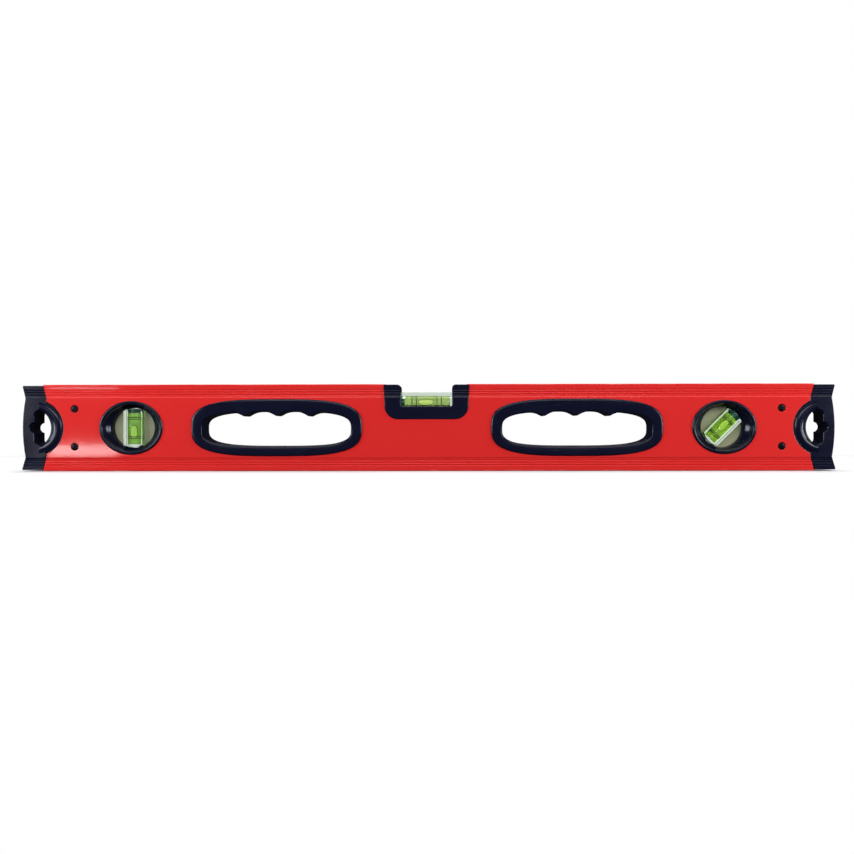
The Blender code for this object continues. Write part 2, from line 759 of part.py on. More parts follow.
def make_end_vial(name, side, tilt, bubble_at, model, cutters):
    """Front and rear bezels clamping a carrier, and the vial that the carrier holds."""
    centre_x = side * VIAL_X
    rings = bezel_rings(centre_x)
    loft(name + "_bezel_front", rings, model, "black_plastic")
    loft(name + "_bezel_rear", mirrored_front_to_rear(rings), model, "black_plastic")
    frame = Matrix.Translation((centre_x, 0, MID_Z)) @ Matrix.Rotation(tilt, 4, "Y")
    to_vial = frame @ ALONG_Y

    rim = [(x + centre_x, z + MID_Z) for x, z in ellipse(CARRIER_HALF, 32)]
    half = CARRIER_THICKNESS / 2
    carrier = extruded(name + "_carrier", [rim], half, ALONG_Y, model, "olive_plastic")
    slot = extruded(name + "_slot", [disc_outline(GAP)], CUT, ALONG_Y, cutters)
    slot.matrix_world = to_vial
    boolean(carrier, "DIFFERENCE", slot)

    block = extruded(name + "_block", [disc_outline(0.0)], BLOCK_Y, ALONG_Y, model, "clear_acrylic")
    block.matrix_world = to_vial
    sides = barrel(END_BORE["radius"], *END_BORE["block"], END_BORE["waist"])
    boolean(block, "DIFFERENCE", turned(name + "_bore", sides, frame, cutters))
    make_vial_contents(name, frame, END_BORE, END_BUBBLE, bubble_at, model, cutters)


# ---------------------------------------------------------------- centre vial


def make_centre_vial(model, cutters):
    housing = extruded(
        "centre_housing", [housing_outline()], CUT, ALONG_Y, model, "black_plastic"
    )
    half_length = 2 * HOUSING_TOP_X
    skin = extruded("housing_skin", [beam_section(HOUSING_PROUD)], half_length, ALONG_X, cutters)
    boolean(housing, "INTERSECT", skin)
    # Inside its core the housing is solid; outside it, only thin lips lie over the webs.
    webs = extruded("room_for_webs", [beam_section(0.5 * GAP)], half_length, ALONG_X, cutters)
    core = extruded("housing_core", [notch_outline(LIP)], CUT, ALONG_Y, cutters)
    boolean(webs, "DIFFERENCE", core)
    boolean(housing, "DIFFERENCE", webs)

    low, high = CENTRE_BLOCK_Z
    pocket_x = CENTRE_BLOCK_X + GAP
    pocket_y = BLOCK_Y + GAP
    pocket_low = (-pocket_x, -pocket_y, HOUSING_FLOOR_Z - CUT)
    pocket = box("vial_pocket", pocket_low, (pocket_x, pocket_y, high + GAP), cutters)
    boolean(housing, "DIFFERENCE", pocket)

    block = box(
        "centre_vial_block",
        (-CENTRE_BLOCK_X, -BLOCK_Y, low),
        (CENTRE_BLOCK_X, BLOCK_Y, high),
        model,
        "clear_acrylic",
        bevel=0.0005,
    )
    frame = Matrix.Translation((0, 0, CENTRE_BORE_Z)) @ Matrix.Rotation(-math.pi / 2, 4, "Y")
    sides = barrel(CENTRE_BORE["radius"], *CENTRE_BORE["block"], CENTRE_BORE["waist"])
    boolean(block, "DIFFERENCE", turned("centre_vial_bore", sides, frame, cutters))
    make_vial_contents(
        "centre_vial", frame, CENTRE_BORE, CENTRE_BUBBLE, CENTRE_BUBBLE_AT, model, cutters
    )

    reflector_top = low - GAP
    reflector_low = reflector_top - REFLECTOR_THICKNESS
    box(
        "centre_reflector",
        (-CENTRE_BLOCK_X, -BLOCK_Y, reflector_low),
        (CENTRE_BLOCK_X, BLOCK_Y, reflector_top),
        model,
        "white_plastic",
    )
    box(
        "centre_retainer",
        (-CENTRE_BLOCK_X, -BLOCK_Y, RETAINER_FOOT_Z),
        (CENTRE_BLOCK_X, BLOCK_Y, reflector_low - GAP),
        model,
        "black_plastic",
        bevel=0.0005,
    )


def main():
    clear_scene()
    model = new_collection("spirit_level")
    cutters = new_collection("cutters")
    make_beam(model, cutters)
    make_cap("left_end_cap", -1, model, cutters)
    make_cap("right_end_cap", 1, model, cutters)
    make_screws(model, cutters)
    make_grips(model)
    make_end_vial("plumb_vial", -1, 0.0, PLUMB_BUBBLE_AT, model, cutters)
    make_end_vial("angle_vial", 1, ANGLE_TILT, ANGLE_BUBBLE_AT, model, cutters)
    make_centre_vial(model, cutters)
    for cutter in cutters.objects:
        as_helper(cutter)


main()
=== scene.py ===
"""The looks of a 600 mm box-section spirit level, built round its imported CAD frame.

The frame's axes are +X along the level, +Y from the front web to the rear one and +Z up, with the
origin in the middle of the lower measuring face. All lengths are in metres. Each CAD node is
replaced by a finer piece of its size, and the three bubbles ride on bodies of their own.
"""

import math

import bmesh
import bpy
from mathutils import Matrix, Vector


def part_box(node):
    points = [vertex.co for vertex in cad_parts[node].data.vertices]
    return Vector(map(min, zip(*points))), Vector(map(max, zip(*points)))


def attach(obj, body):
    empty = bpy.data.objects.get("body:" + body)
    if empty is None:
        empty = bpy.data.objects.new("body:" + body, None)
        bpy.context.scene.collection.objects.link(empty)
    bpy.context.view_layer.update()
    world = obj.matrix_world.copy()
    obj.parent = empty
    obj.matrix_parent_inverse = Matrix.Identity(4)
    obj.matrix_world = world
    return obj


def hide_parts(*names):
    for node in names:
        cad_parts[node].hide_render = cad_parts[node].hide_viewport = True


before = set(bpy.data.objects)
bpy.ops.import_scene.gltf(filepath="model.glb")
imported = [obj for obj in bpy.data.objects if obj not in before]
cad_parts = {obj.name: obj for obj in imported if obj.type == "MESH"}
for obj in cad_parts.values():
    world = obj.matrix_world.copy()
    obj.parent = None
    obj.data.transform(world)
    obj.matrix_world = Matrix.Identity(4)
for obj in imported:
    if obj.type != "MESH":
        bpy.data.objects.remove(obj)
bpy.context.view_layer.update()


# ---------------------------------------------------------------- places and sizes from the frame


def middle_of(node):
    low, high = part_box(node)
    return (low + high) / 2


def half_of(node):
    low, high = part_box(node)
    return (high - low) / 2


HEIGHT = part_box("beam")[1].z
WEB_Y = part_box("beam")[1].y  # half the thickness across the webs
MID_Z = HEIGHT / 2
TIP_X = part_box("right_end_cap")[1].x
ARM_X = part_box("right_end_cap")[0].x  # where the arms inside the beam end
GRIP_X = middle_of("right_grip_front").x
GRIP_HALF = (half_of("right_grip_front").x, half_of("right_grip_front").z)
VIAL_X = middle_of("angle_vial_bezel_front").x
BEZEL_HALF = (half_of("angle_vial_bezel_front").x, half_of("angle_vial_bezel_front").z)
CARRIER_HALF = (half_of("angle_vial_carrier").x, half_of("angle_vial_carrier").z)
CARRIER_Y = half_of("angle_vial_carrier").y
BLOCK_Y = half_of("plumb_vial_block").y
DISC_HALF_WIDTH = half_of("plumb_vial_block").x
DISC_R = half_of("plumb_vial_block").z
SCREW_X = middle_of("right_cap_screw_upper_front").x
SCREW_Z = middle_of("right_cap_screw_upper_front").z - MID_Z
HOUSING_LOW, HOUSING_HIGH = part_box("centre_housing")
CENTRE_LOW, CENTRE_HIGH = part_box("centre_vial_block")

GAP = 0.0003  # clearance between pieces that touch
THROUGH = 0.020  # half the depth of a cutter that goes right through the level

# Beam section: flat webs, and a grooved band along the top and the bottom
WALL = 0.0017
FLANGE = 0.0025
INNER_Y = WEB_Y - WALL
BAND = 0.0098  # height of a band
BAND_STEP = 0.0005  # how far a band stands back from the web
GROOVE_CENTRES = (0.0042, 0.0060, 0.0078)
GROOVE_HALF_WIDTH = 0.0006
GROOVE_DEPTH = 0.0004
GROOVE_MARGIN = 0.00012  # flat strip beside a groove, which keeps the band's shading flat
CORNER = 0.0006
CUT_EDGE = 0.0003  # bare chamfer where the painted webs were cut

# Joint between the beam and the end caps
CUT_OUTER_X = 0.2842  # at the measuring faces
CUT_INNER_X = 0.2815  # at the webs
LOBE_X = 0.2897
LOBE_R = 0.0208

# End caps
CAP_INSET = 0.0008  # how far a cap stays clear of the measuring faces
CAP_EDGE = 0.0006
CAP_CORNER = 0.0012
WAIST_X = 0.2972
WAIST_Z = 0.0218
BULGE = 0.0020
RING_END_X = 0.2872
RING_CREST_R = 0.0160
RING_PROUD = 0.0008
RING_DEPTH = 0.0030  # from the ring's crest down to where it meets the plate
PLATE_Y = WEB_Y - 0.0001
ARM_FAR_Z = 0.0290
ARM_NEAR_Z = 0.0105
ARM_EDGE = 0.0006

# Hanging hole, measured outwards from the lobe's centre
HANG_FLAT = 0.0010
HANG_CENTRE = 0.0039  # of the round side
HANG_R = 0.0152
HANG_NICK_U = 0.0004
HANG_NICK_R = 0.0038
HANG_CORNER = 0.0040
HANG_CHAMFER = 0.0010

# Cap screws
HEAD_R = 0.0026
HEAD_HEIGHT = 0.0015
SHANK_R = 0.0014
SHANK_LENGTH = 0.0075
THREAD_START = 0.0006
THREAD_PITCH = 0.0009
THREAD_DEPTH = 0.00025
POINT_LENGTH = 0.0018
RECESS_ARMS = ((0.0016, 0.00045), (0.00045, 0.0016))  # half lengths and half widths of the cross
RECESS_DEPTH = 0.0009

# Hand grips
GRIP_POWER = 3.2
HOLE_HALF = (0.0548, 0.0127)
HOLE_POWER = 3.3
HOLE_Z = 0.0310
SCALLOP_PITCH = 0.0239
SCALLOP_DEPTH = 0.0032
SCALLOP_SOFTNESS = 0.10
SCALLOP_POWER = 1.5  # above 1, the arcs for the fingers are broader than the cusps between them
SLEEVE_HALF = (0.0572, 0.0152)
TONGUE_HALF = (0.0562, 0.0140)
TONGUE_LENGTH = 0.0020
FLANGE_ROUNDING = (0.0014, 0.0011)  # width and rise of the rounding along the flange's rim
FLANGE_CROWN = (0.0034, 0.0014)  # the crown's distance in from the rim, and its height
GRIP_LIP = (  # from the flange into the hand hole: distance outside the hole, and height
    (0.0013, 0.00104),
    (0.0009, 0.00096),
    (0.0006, 0.00074),
    (0.0003, 0.00030),
    (0.0001, -0.0003),
    (0.0, -0.0010),
)

# End vials
BEZEL_SLEEVE = (0.0210, 0.0174)
WINDOW_R = 0.0148
FUNNEL = ((0.0197, 0.0171, -0.0094), (0.0162, 0.0156, -0.0057))  # half width, half height, y
ANGLE_TILT = math.radians(45)

# Places along a bore are measured from the middle of its lines, towards its plug
END_BORE = {
    "radius": 0.0052,
    "waist": 0.0003,
    "block": (-0.0124, 0.0170),
    "liquid": (-0.0121, 0.0108),
    "plug": (0.0111, 0.0138),
    "lines": (-0.0078, -0.0064, 0.0064, 0.0078),
}

# Centre vial and its housing
HOUSING_LOW_X = 0.0309
HOUSING_CORNER = 0.0100
NOTCH_X = 0.01895
NOTCH_FLOOR_Z = 0.0476
SHOULDER_R = 0.0026
NOTCH_CORNER = 0.0012
HOUSING_PROUD = HOUSING_HIGH.y - WEB_Y
LIP = 0.0016
CENTRE_BORE_Z = 0.0508
CENTRE_BORE = {
    "radius": 0.0047,
    "waist": 0.0003,
    "block": (-0.0176, 0.0240),
    "liquid": (-0.0173, 0.0162),
    "plug": (0.0165, 0.0224),
    "lines": (-0.01095, -0.0077, 0.0077, 0.01095),
}
WETTING = 0.00003  # how far the liquid reaches into its bore's wall, so no air shows between
BUBBLE_POWER = 2.5
BUBBLE_STEPS = 40
MENISCUS_THICKNESS = 0.00025
LINE_HALF_WIDTH = 0.00022
LINE_THICKNESS = 0.00006
RIB_CENTRES = (-0.015, -0.005, 0.005, 0.015)  # the grooves between the retainer's ribs
RIB_HALF_WIDTH = 0.003
RIB_DEPTH = 0.0016
RIB_END = 0.0012

SHARP_ANGLE = math.radians(38)


# ---------------------------------------------------------------- outlines


def arc(centre, radius, start, end, steps):
    """Points on an arc between two angles in degrees."""
    angles = [math.radians(start + (end - start) * i / steps) for i in range(steps + 1)]
    return [(centre[0] + radius * math.cos(a), centre[1] + radius * math.sin(a)) for a in angles]


def ellipse(half, count):
    angles = [2 * math.pi * i / count for i in range(count)]
    return [(half[0] * math.cos(a), half[1] * math.sin(a)) for a in angles]


def circle(radius, count):
    return ellipse((radius, radius), count)


def mirrored(outline, side):
    """The outline for the right end of the level, or its mirror image for the left end."""
    return [(side * u, v) for u, v in outline]


def shifted(outline, u, v):
    return [(point[0] + u, point[1] + v) for point in outline]


def grown(half, by):
    return (half[0] + by, half[1] + by)


def rounded(points, radius, steps=3, closed=True):
    """The same outline with each corner replaced by a short curve."""
    last = len(points) - 1
    result = []
    for i, point in enumerate(points):
        if not closed and i in (0, last):
            result.append(point)
            continue
        here = Vector(point)
        back = Vector(points[i - 1]) - here
        ahead = Vector(points[(i + 1) % len(points)]) - here
        start = here + back * min(0.4, radius / back.length)
        end = here + ahead * min(0.4, radius / ahead.length)
        for k in range(steps + 1):
            t = k / steps
            result.append(tuple(start.lerp(here, t).lerp(here.lerp(end, t), t)))
    return result


def inset(outline, distance):
    """A closed outline moved inwards by distance. A negative distance grows it."""
    points = [Vector(point) for point in outline]
    count = len(points)
    area = sum(points[i - 1].cross(points[i]) for i in range(count))
    turn = math.copysign(1.0, area)
    result = []
    for i, here in enumerate(points):
        along_in = (here - points[i - 1]).normalized()
        along_out = (points[(i + 1) % count] - here).normalized()
        normal_in = Vector((-along_in.y, along_in.x))
        normal_out = Vector((-along_out.y, along_out.x))
        mitre = (normal_in + normal_out) / (1 + normal_in.dot(normal_out))
        result.append(tuple(here + mitre * distance * turn))
    return result


def smooth_path(points, steps):
    """Catmull-Rom points through a list of tuples of any length."""
    ends = [points[0]] + list(points) + [points[-1]]
    result = []
    for a, b, c, d in zip(ends, ends[1:], ends[2:], ends[3:]):
        for k in range(steps):
            t = k / steps
            weights = (
                -t / 2 + t**2 - t**3 / 2,
                1 - 2.5 * t**2 + 1.5 * t**3,
                t / 2 + 2 * t**2 - 1.5 * t**3,
                (t**3 - t**2) / 2,
            )
            corners = zip(a, b, c, d)
            result.append(tuple(sum(w * x for w, x in zip(weights, xs)) for xs in corners))
    return result + [tuple(points[-1])]


# ---------------------------------------------------------------- meshes


def mesh_from(points, faces, material=None):
    mesh = bpy.data.meshes.new("shape")
    mesh.from_pydata(points, [], faces)
    bm = bmesh.new()
    bm.from_mesh(mesh)
    bmesh.ops.remove_doubles(bm, verts=bm.verts, dist=1e-6)
    bmesh.ops.recalc_face_normals(bm, faces=bm.faces)
    bm.to_mesh(mesh)
    bm.free()
    if material:
        mesh.materials.append(material)
    return mesh


def loft(rings, material=None, capped=True, looped=False):
    """A solid through outlines of equal length, with flat caps, or with its last outline joined
    to its first, or neither where its ends close to points."""
    count = len(rings[0])
    points = [point for ring in rings for point in ring]
    faces = []
    for i in range(len(rings) if looped else len(rings) - 1):
        this_ring = i * count
        next_ring = (i + 1) % len(rings) * count
        for j in range(count):
            k = (j + 1) % count
            faces.append((this_ring + j, this_ring + k, next_ring + k, next_ring + j))
    if capped and not looped:
        faces.append(tuple(range(count)))
        faces.append(tuple(range(len(points) - count, len(points))))
    return mesh_from(points, faces, material)


def at_y(outline, y):
    """An XZ outline as points at depth y."""
    return [(u, y, v) for u, v in outline]


def at_x(outline, x):
    """A YZ outline as points at length x."""
    return [(x, u, v) for u, v in outline]


def at_z(outline, z):
    """An XY outline as points at height z."""
    return [(u, v, z) for u, v in outline]


def prism(outline, place, low, high, material=None):
    """A flat outline extruded between two places along one axis."""
    return loft([place(outline, low), place(outline, high)], material)


def box(low, high, edge=0.0, material=None):
    """A box with rounded upright edges and rounded top and bottom."""
    outline = [(low[0], low[2]), (high[0], low[2]), (high[0], high[2]), (low[0], high[2])]
    if not edge:
        return prism(outline, at_y, low[1], high[1], material)
    return plate(rounded(outline, 1.6 * edge), low[1], high[1], edge, material)


def plate(outline, low_y, high_y, edge, material=None):
    """An XZ outline made thick, with its front and rear edges rounded."""
    steps = 4
    turns = [math.pi / 2 * i / steps for i in range(steps + 1)]
    front = []
    for a in turns:
        front.append((edge * (1 - math.sin(a)), low_y + edge * (1 - math.cos(a))))
    rear = [(by, low_y + high_y - y) for by, y in reversed(front)]
    return loft([at_y(inset(outline, by), y) for by, y in front + rear], material)


def turned(profile, matrix, steps, material=None, looped=False):
    """A solid turned about its own Z. The profile starts and ends on the axis, or is a loop."""
    rings = []
    for r, z in profile:
        rings.append([tuple(matrix @ Vector((u, v, z))) for u, v in circle(r, steps)])
    return loft(rings, material, False, looped)


def moved(mesh, matrix):
    mesh.transform(matrix)
    return mesh


def faced_rear(mesh):
    """A front piece's mesh as its mirror image on the rear face."""
    mesh.transform(Matrix.Scale(-1, 4, (0, 1, 0)))
    mesh.flip_normals()
    return mesh


def joined(*meshes):
    """Several meshes as one, each with its own material."""
    bm = bmesh.new()
    materials = []
    for mesh in meshes:
        first = len(bm.faces)
        bm.from_mesh(mesh)
        bm.faces.ensure_lookup_table()
        slots = []
        for material in mesh.materials:
            if material not in materials:
                materials.append(material)
            slots.append(materials.index(material))
        for face in bm.faces[first:]:
            face.material_index = slots[face.material_index]
    result = bpy.data.meshes.new("joined")
    bm.to_mesh(result)
    bm.free()
    for material in materials:
        result.materials.append(material)
    return result


def combined(mesh, *steps):
    """The mesh after (operation, other mesh) Booleans, in order. Cut faces take the other mesh's
    material where it has one."""
    objects = []
    for part in [mesh] + [other for _, other in steps]:
        obj = bpy.data.objects.new("combining", part)
        bpy.context.scene.collection.objects.link(obj)
        objects.append(obj)
    for (operation, _), other in zip(steps, objects[1:]):
        modifier = objects[0].modifiers.new(operation, "BOOLEAN")
        modifier.operation = operation
        modifier.object = other
        modifier.solver = "EXACT"
        modifier.material_mode = "TRANSFER"
    bpy.context.view_layer.update()
    graph = bpy.context.evaluated_depsgraph_get()
    result = bpy.data.meshes.new_from_object(objects[0].evaluated_get(graph), depsgraph=graph)
    for obj in objects:
        bpy.data.objects.remove(obj)
    return result


def cut_by(mesh, *cutters):
    return combined(mesh, *[("DIFFERENCE", other) for other in cutters])


def cutter(outline, chamfer=0.0, material=None):
    """A cutter right through the level that widens by the chamfer where it meets both webs."""
    if not chamfer:
        return prism(outline, at_y, -THROUGH, THROUGH, material)
    inner = WEB_Y - chamfer
    beyond = 2 * chamfer
    wide = inset(outline, -chamfer - beyond)
    rings = [
        at_y(wide, -WEB_Y - beyond),
        at_y(outline, -inner),
        at_y(outline, inner),
        at_y(wide, WEB_Y + beyond),
    ]
    return loft(rings, material)


def add_piece(name, mesh, nodes, body="level"):
    """Puts a finished mesh in the scene, in place of its CAD nodes where it has any."""
    mesh.shade_smooth()
    mesh.set_sharp_from_angle(angle=SHARP_ANGLE)
    piece = bpy.data.objects.new(name, mesh)
    bpy.context.scene.collection.objects.link(piece)
    normals = piece.modifiers.new("Even shading", "WEIGHTED_NORMAL")
    normals.keep_sharp = True
    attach(piece, body)
    if nodes:
        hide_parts(*nodes)


# ---------------------------------------------------------------- materials


class Finish:
    """One material's nodes. Its textures read object coordinates, which are the frame's metres."""

    def __init__(self, name, roughness=0.5, metallic=0.0):
        self.material = bpy.data.materials.new(name)
        self.material.use_nodes = True
        self.tree = self.material.node_tree
        self.shader = self.tree.nodes["Principled BSDF"]
        self.place = self.node("ShaderNodeTexCoord").outputs["Object"]
        self.set("Roughness", roughness)
        self.set("Metallic", metallic)

    def node(self, kind):
        return self.tree.nodes.new(kind)

    def feed(self, socket, value):
        """Links a socket's value, or sets a number or colour."""
        if isinstance(value, bpy.types.NodeSocket):
            self.tree.links.new(value, socket)
        elif isinstance(value, tuple) and len(value) == 3:
            socket.default_value = (*value, 1.0)
        else:
            socket.default_value = value

    def set(self, name, value):
        self.feed(self.shader.inputs[name], value)

    def noise(self, size, detail=2.0, stretch=(1.0, 1.0, 1.0)):
        """Noise from 0 to 1 with features of about the given size, longer along a stretched axis."""
        mapping = self.node("ShaderNodeMapping")
        mapping.inputs["Scale"].default_value = [1 / (size * s) for s in stretch]
        texture = self.node("ShaderNodeTexNoise")
        texture.inputs["Scale"].default_value = 1.0
        texture.inputs["Detail"].default_value = detail
        self.feed(mapping.inputs["Vector"], self.place)
        self.feed(texture.inputs["Vector"], mapping.outputs["Vector"])
        return texture.outputs[0]

    def ranged(self, value, low, high, to_low=0.0, to_high=1.0):
        """Maps a value from low...high to to_low...to_high, and no further."""
        node = self.node("ShaderNodeMapRange")
        for name, x in (
            ("Value", value),
            ("From Min", low),
            ("From Max", high),
            ("To Min", to_low),
            ("To Max", to_high),
        ):
            self.feed(node.inputs[name], x)
        return node.outputs["Result"]

    def maths(self, operation, first, second=0.0):
        node = self.node("ShaderNodeMath")
        node.operation = operation
        self.feed(node.inputs[0], first)
        self.feed(node.inputs[1], second)
        return node.outputs[0]

    def blend(self, amount, first, second):
        """A colour between the first, at 0, and the second, at 1."""
        node = self.node("ShaderNodeMix")
        node.data_type = "RGBA"
        self.feed(node.inputs["Factor"], amount)
        self.feed(node.inputs[6], first)
        self.feed(node.inputs[7], second)
        return node.outputs[2]

    def away_from(self, axis, origin, low, high):
        """From 0 to 1 as the distance from a plane across an axis grows from low to high."""
        split = self.node("ShaderNodeSeparateXYZ")
        self.feed(split.inputs[0], self.place)
        offset = self.maths("SUBTRACT", split.outputs[axis], origin)
        return self.ranged(self.maths("ABSOLUTE", offset), low, high)

    def bump(self, height, distance):
        node = self.node("ShaderNodeBump")
        node.inputs["Strength"].default_value = 1.0
        node.inputs["Distance"].default_value = distance
        self.feed(node.inputs["Height"], height)
        self.feed(self.shader.inputs["Normal"], node.outputs["Normal"])


def red_paint():
    """Glossy red enamel with slight orange peel, satin on top and below, and pale pink along the long
    edges: rubbed paint, and a painted highlight too.
    """
    finish = Finish("red_paint")
    mottle = finish.noise(0.030, 3.0, (3.0, 1.0, 1.0))
    grain = finish.noise(0.0006, 1.0)
    red = finish.blend(mottle, (0.70, 0.025, 0.023), (0.72, 0.028, 0.026))
    red = finish.blend(finish.ranged(grain, 0.35, 0.75, 0.0, 0.08), red, (0.55, 0.017, 0.016))
    edges = finish.away_from("Z", MID_Z, MID_Z - 0.0008, MID_Z)
    corners = finish.maths("MULTIPLY", edges, finish.away_from("Y", 0.0, WEB_Y - 0.0012, WEB_Y - 0.0004))
    # The pale pink along the long edges is partly rubbed paint and partly a painted highlight.
    edge_patches = finish.ranged(finish.noise(0.006, 4.0, (4.0, 1.0, 1.0)), 0.50, 0.66)
    rubbed_edge_highlight = finish.maths("MULTIPLY", corners, edge_patches)
    finish.set("Base Color", finish.blend(rubbed_edge_highlight, red, (0.80, 0.34, 0.30)))
    scratches = finish.ranged(finish.noise(0.0008, 3.0, (40.0, 1.0, 1.0)), 0.58, 0.74)
    soft = finish.ranged(finish.noise(0.014, 3.0), 0.3, 0.7, 0.05, 0.07)
    glossy = finish.maths("ADD", soft, finish.maths("MULTIPLY", scratches, 0.03))
    measuring = finish.away_from("Z", MID_Z, MID_Z - 0.0003, MID_Z - 0.0001)
    finish.set("Roughness", finish.maths("ADD", glossy, finish.maths("MULTIPLY", measuring, 0.34)))
    finish.set("Specular IOR Level", 0.30)
    finish.bump(finish.noise(0.006, 2.0, (2.0, 1.0, 1.0)), 0.000008)
    return finish.material


def bare_aluminium():
    """Sawn and brushed aluminium: the cut edges and the inside of the beam."""
    finish = Finish("bare_aluminium", metallic=1.0)
    lines = finish.noise(0.0004, 3.0, (1.0, 1.0, 12.0))
    finish.set("Base Color", finish.blend(lines, (0.76, 0.70, 0.70), (0.93, 0.88, 0.87)))
    finish.set("Roughness", finish.ranged(lines, 0.3, 0.7, 0.26, 0.42))
    finish.bump(lines, 0.00001)
    return finish.material


def black_plastic():
    """Glossy blue-black moulding, with flow marks, fine grain, and scuffs on what stands proudest."""
    finish = Finish("black_plastic")
    flow = finish.noise(0.012, 3.0, (2.0, 1.0, 1.0))
    grain = finish.noise(0.0005, 2.0)
    navy = finish.blend(flow, (0.0042, 0.0050, 0.0155), (0.0064, 0.0076, 0.0230))
    scuffs = finish.maths(
        "MULTIPLY",
        finish.away_from("Y", 0.0, WEB_Y + 0.0010, WEB_Y + 0.0016),
        finish.ranged(finish.noise(0.0012, 4.0, (6.0, 1.0, 1.0)), 0.60, 0.75),
    )
    finish.set("Base Color", finish.blend(scuffs, navy, (0.014, 0.015, 0.024)))
    gloss = finish.ranged(flow, 0.3, 0.7, 0.13, 0.20)
    finish.set("Roughness", finish.maths("ADD", gloss, finish.maths("MULTIPLY", scuffs, 0.10)))
    finish.set("Specular IOR Level", 0.30)
    finish.bump(grain, 0.000003)
    return finish.material


def black_steel():
    """Blackened steel that has worn bright on the screw heads' faces."""
    finish = Finish("black_steel", metallic=1.0)
    spots = finish.noise(0.0007, 3.0)
    worn = finish.maths(
        "MULTIPLY",
        finish.away_from("Y", 0.0, WEB_Y - 0.0005, WEB_Y - 0.0002),
        finish.ranged(spots, 0.52, 0.70),
    )
    finish.set("Base Color", finish.blend(worn, (0.012, 0.012, 0.015), (0.08, 0.078, 0.08)))
    finish.set("Roughness", finish.ranged(spots, 0.3, 0.7, 0.28, 0.45))
    finish.bump(spots, 0.000012)
    return finish.material


def clear(name, colour, deeper, ior, roughness=0.02):
    """A clear material whose tint drifts a little."""
    finish = Finish(name)
    drift = finish.noise(0.005, 2.0)
    finish.set("Base Color", finish.blend(drift, colour, deeper))
    finish.set("Roughness", finish.ranged(drift, 0.3, 0.7, roughness, roughness * 2))
    finish.set("Transmission Weight", 1.0)
    finish.set("IOR", ior)
    finish.bump(finish.noise(0.002, 1.0), 0.000004)
    return finish


def bubble_gas():
    """Clear, with a faint painted glow: the bubble emits light of its own, standing in for the light
    that a bubble lets past the dye.
    """
    finish = clear("bubble_gas", (0.98, 1.0, 0.92), (0.96, 0.99, 0.88), 1.10, 0.01)
    # Painted glow: the emission lights the bubble up although it is no lamp.
    finish.set("Emission Color", (1.0, 0.90, 0.40))
    finish.set("Emission Strength", 0.18)
    return finish.material


def satin(name, colour, darker, low_gloss, high_gloss, grain_size, grain_depth):
    """A moulded satin surface with a fine grain."""
    finish = Finish(name)
    patches = finish.noise(0.004, 3.0)
    grain = finish.noise(grain_size, 2.0)
    finish.set("Base Color", finish.blend(patches, colour, darker))
    finish.set("Roughness", finish.ranged(grain, 0.3, 0.7, low_gloss, high_gloss))
    finish.bump(grain, grain_depth)
    return finish.material


RED = red_paint()
BARE = bare_aluminium()
BLACK = black_plastic()
STEEL = black_steel()
ACRYLIC = clear("clear_acrylic", (0.62, 0.70, 0.62), (0.56, 0.65, 0.56), 1.49).material
LIQUIDS = {
    "centre_vial": clear("centre_liquid", (0.84, 0.96, 0.38), (0.78, 0.92, 0.30), 1.38).material,
    "plumb_vial": clear("plumb_liquid", (0.48, 0.78, 0.16), (0.42, 0.72, 0.13), 1.38).material,
    "angle_vial": clear("angle_liquid", (0.56, 0.86, 0.09), (0.46, 0.78, 0.07), 1.38).material,
}
GLOWING_GAS = bubble_gas()
# Painted shade: a dark green colour for the bubble's edge, which only looks dark because light bends at
# the meniscus.
MENISCUS_SHADE = satin("meniscus_shade", (0.035, 0.16, 0.012), (0.02, 0.11, 0.008), 0.15, 0.30, 0.0004, 0.000004)
TEAL = satin("teal_plug", (0.002, 0.140, 0.090), (0.001, 0.100, 0.070), 0.25, 0.45, 0.0006, 0.00002)
OLIVE = satin("olive_plastic", (0.40, 0.42, 0.25), (0.34, 0.36, 0.21), 0.35, 0.55, 0.0007, 0.00002)
WHITE = satin("white_plastic", (0.82, 0.84, 0.80), (0.76, 0.78, 0.74), 0.40, 0.60, 0.0006, 0.00002)
INK = satin("black_ink", (0.012, 0.014, 0.010), (0.020, 0.024, 0.014), 0.45, 0.65, 0.0003, 0.000004)


# ---------------------------------------------------------------- beam


def groove(centre, face):
    """A soft-edged groove in a face and its flat margins, as (y, z) points from bottom to top."""
    steps = 8
    reach = GROOVE_HALF_WIDTH + GROOVE_MARGIN
    points = [(face, centre - reach)]
    for i in range(steps + 1):
        t = 2 * i / steps - 1
        depth = GROOVE_DEPTH * (1 + math.cos(math.pi * t)) / 2
        points.append((face - depth, centre + t * GROOVE_HALF_WIDTH))
    points.append((face, centre + reach))
    return points


def beam_side(offset):
    """The right-hand side of the beam's section, from bottom to top, as (y, z)."""
    band = WEB_Y - BAND_STEP + offset
    web = WEB_Y + offset
    lower = arc((band - CORNER, CORNER - offset), CORNER, -90, 0, 5)
    for centre in GROOVE_CENTRES:
        lower += groove(centre, band)
    step = [lower[-1], (band, BAND - BAND_STEP), (web, BAND), (web, BAND + 0.002)]
    lower += rounded(step, 0.0002, 2, closed=False)[1:-1]
    upper = [(y, HEIGHT - z) for y, z in reversed(lower)]
    return lower + upper


def beam_section(offset=0.0):
    right = beam_side(offset)
    left = [(-y, z) for y, z in reversed(right)]
    return right + left


def joint_line(gap, radius=LOBE_R):
    """Where the right end of the beam meets the cap, from bottom to top, moved outwards by gap."""
    inner = CUT_INNER_X + gap
    reach = math.degrees(math.acos((LOBE_X - inner) / radius))
    lobe = arc((LOBE_X, MID_Z), radius, 180 + reach, 180 - reach, 56)
    margin = 0.001  # the line runs on past the beam's edges
    outer = CUT_OUTER_X + gap + (CUT_OUTER_X - CUT_INNER_X) * margin / BAND
    bottom = [(outer, -margin), (inner, BAND)]
    top = [(inner, HEIGHT - BAND), (outer, HEIGHT + margin)]
    return bottom + lobe + top


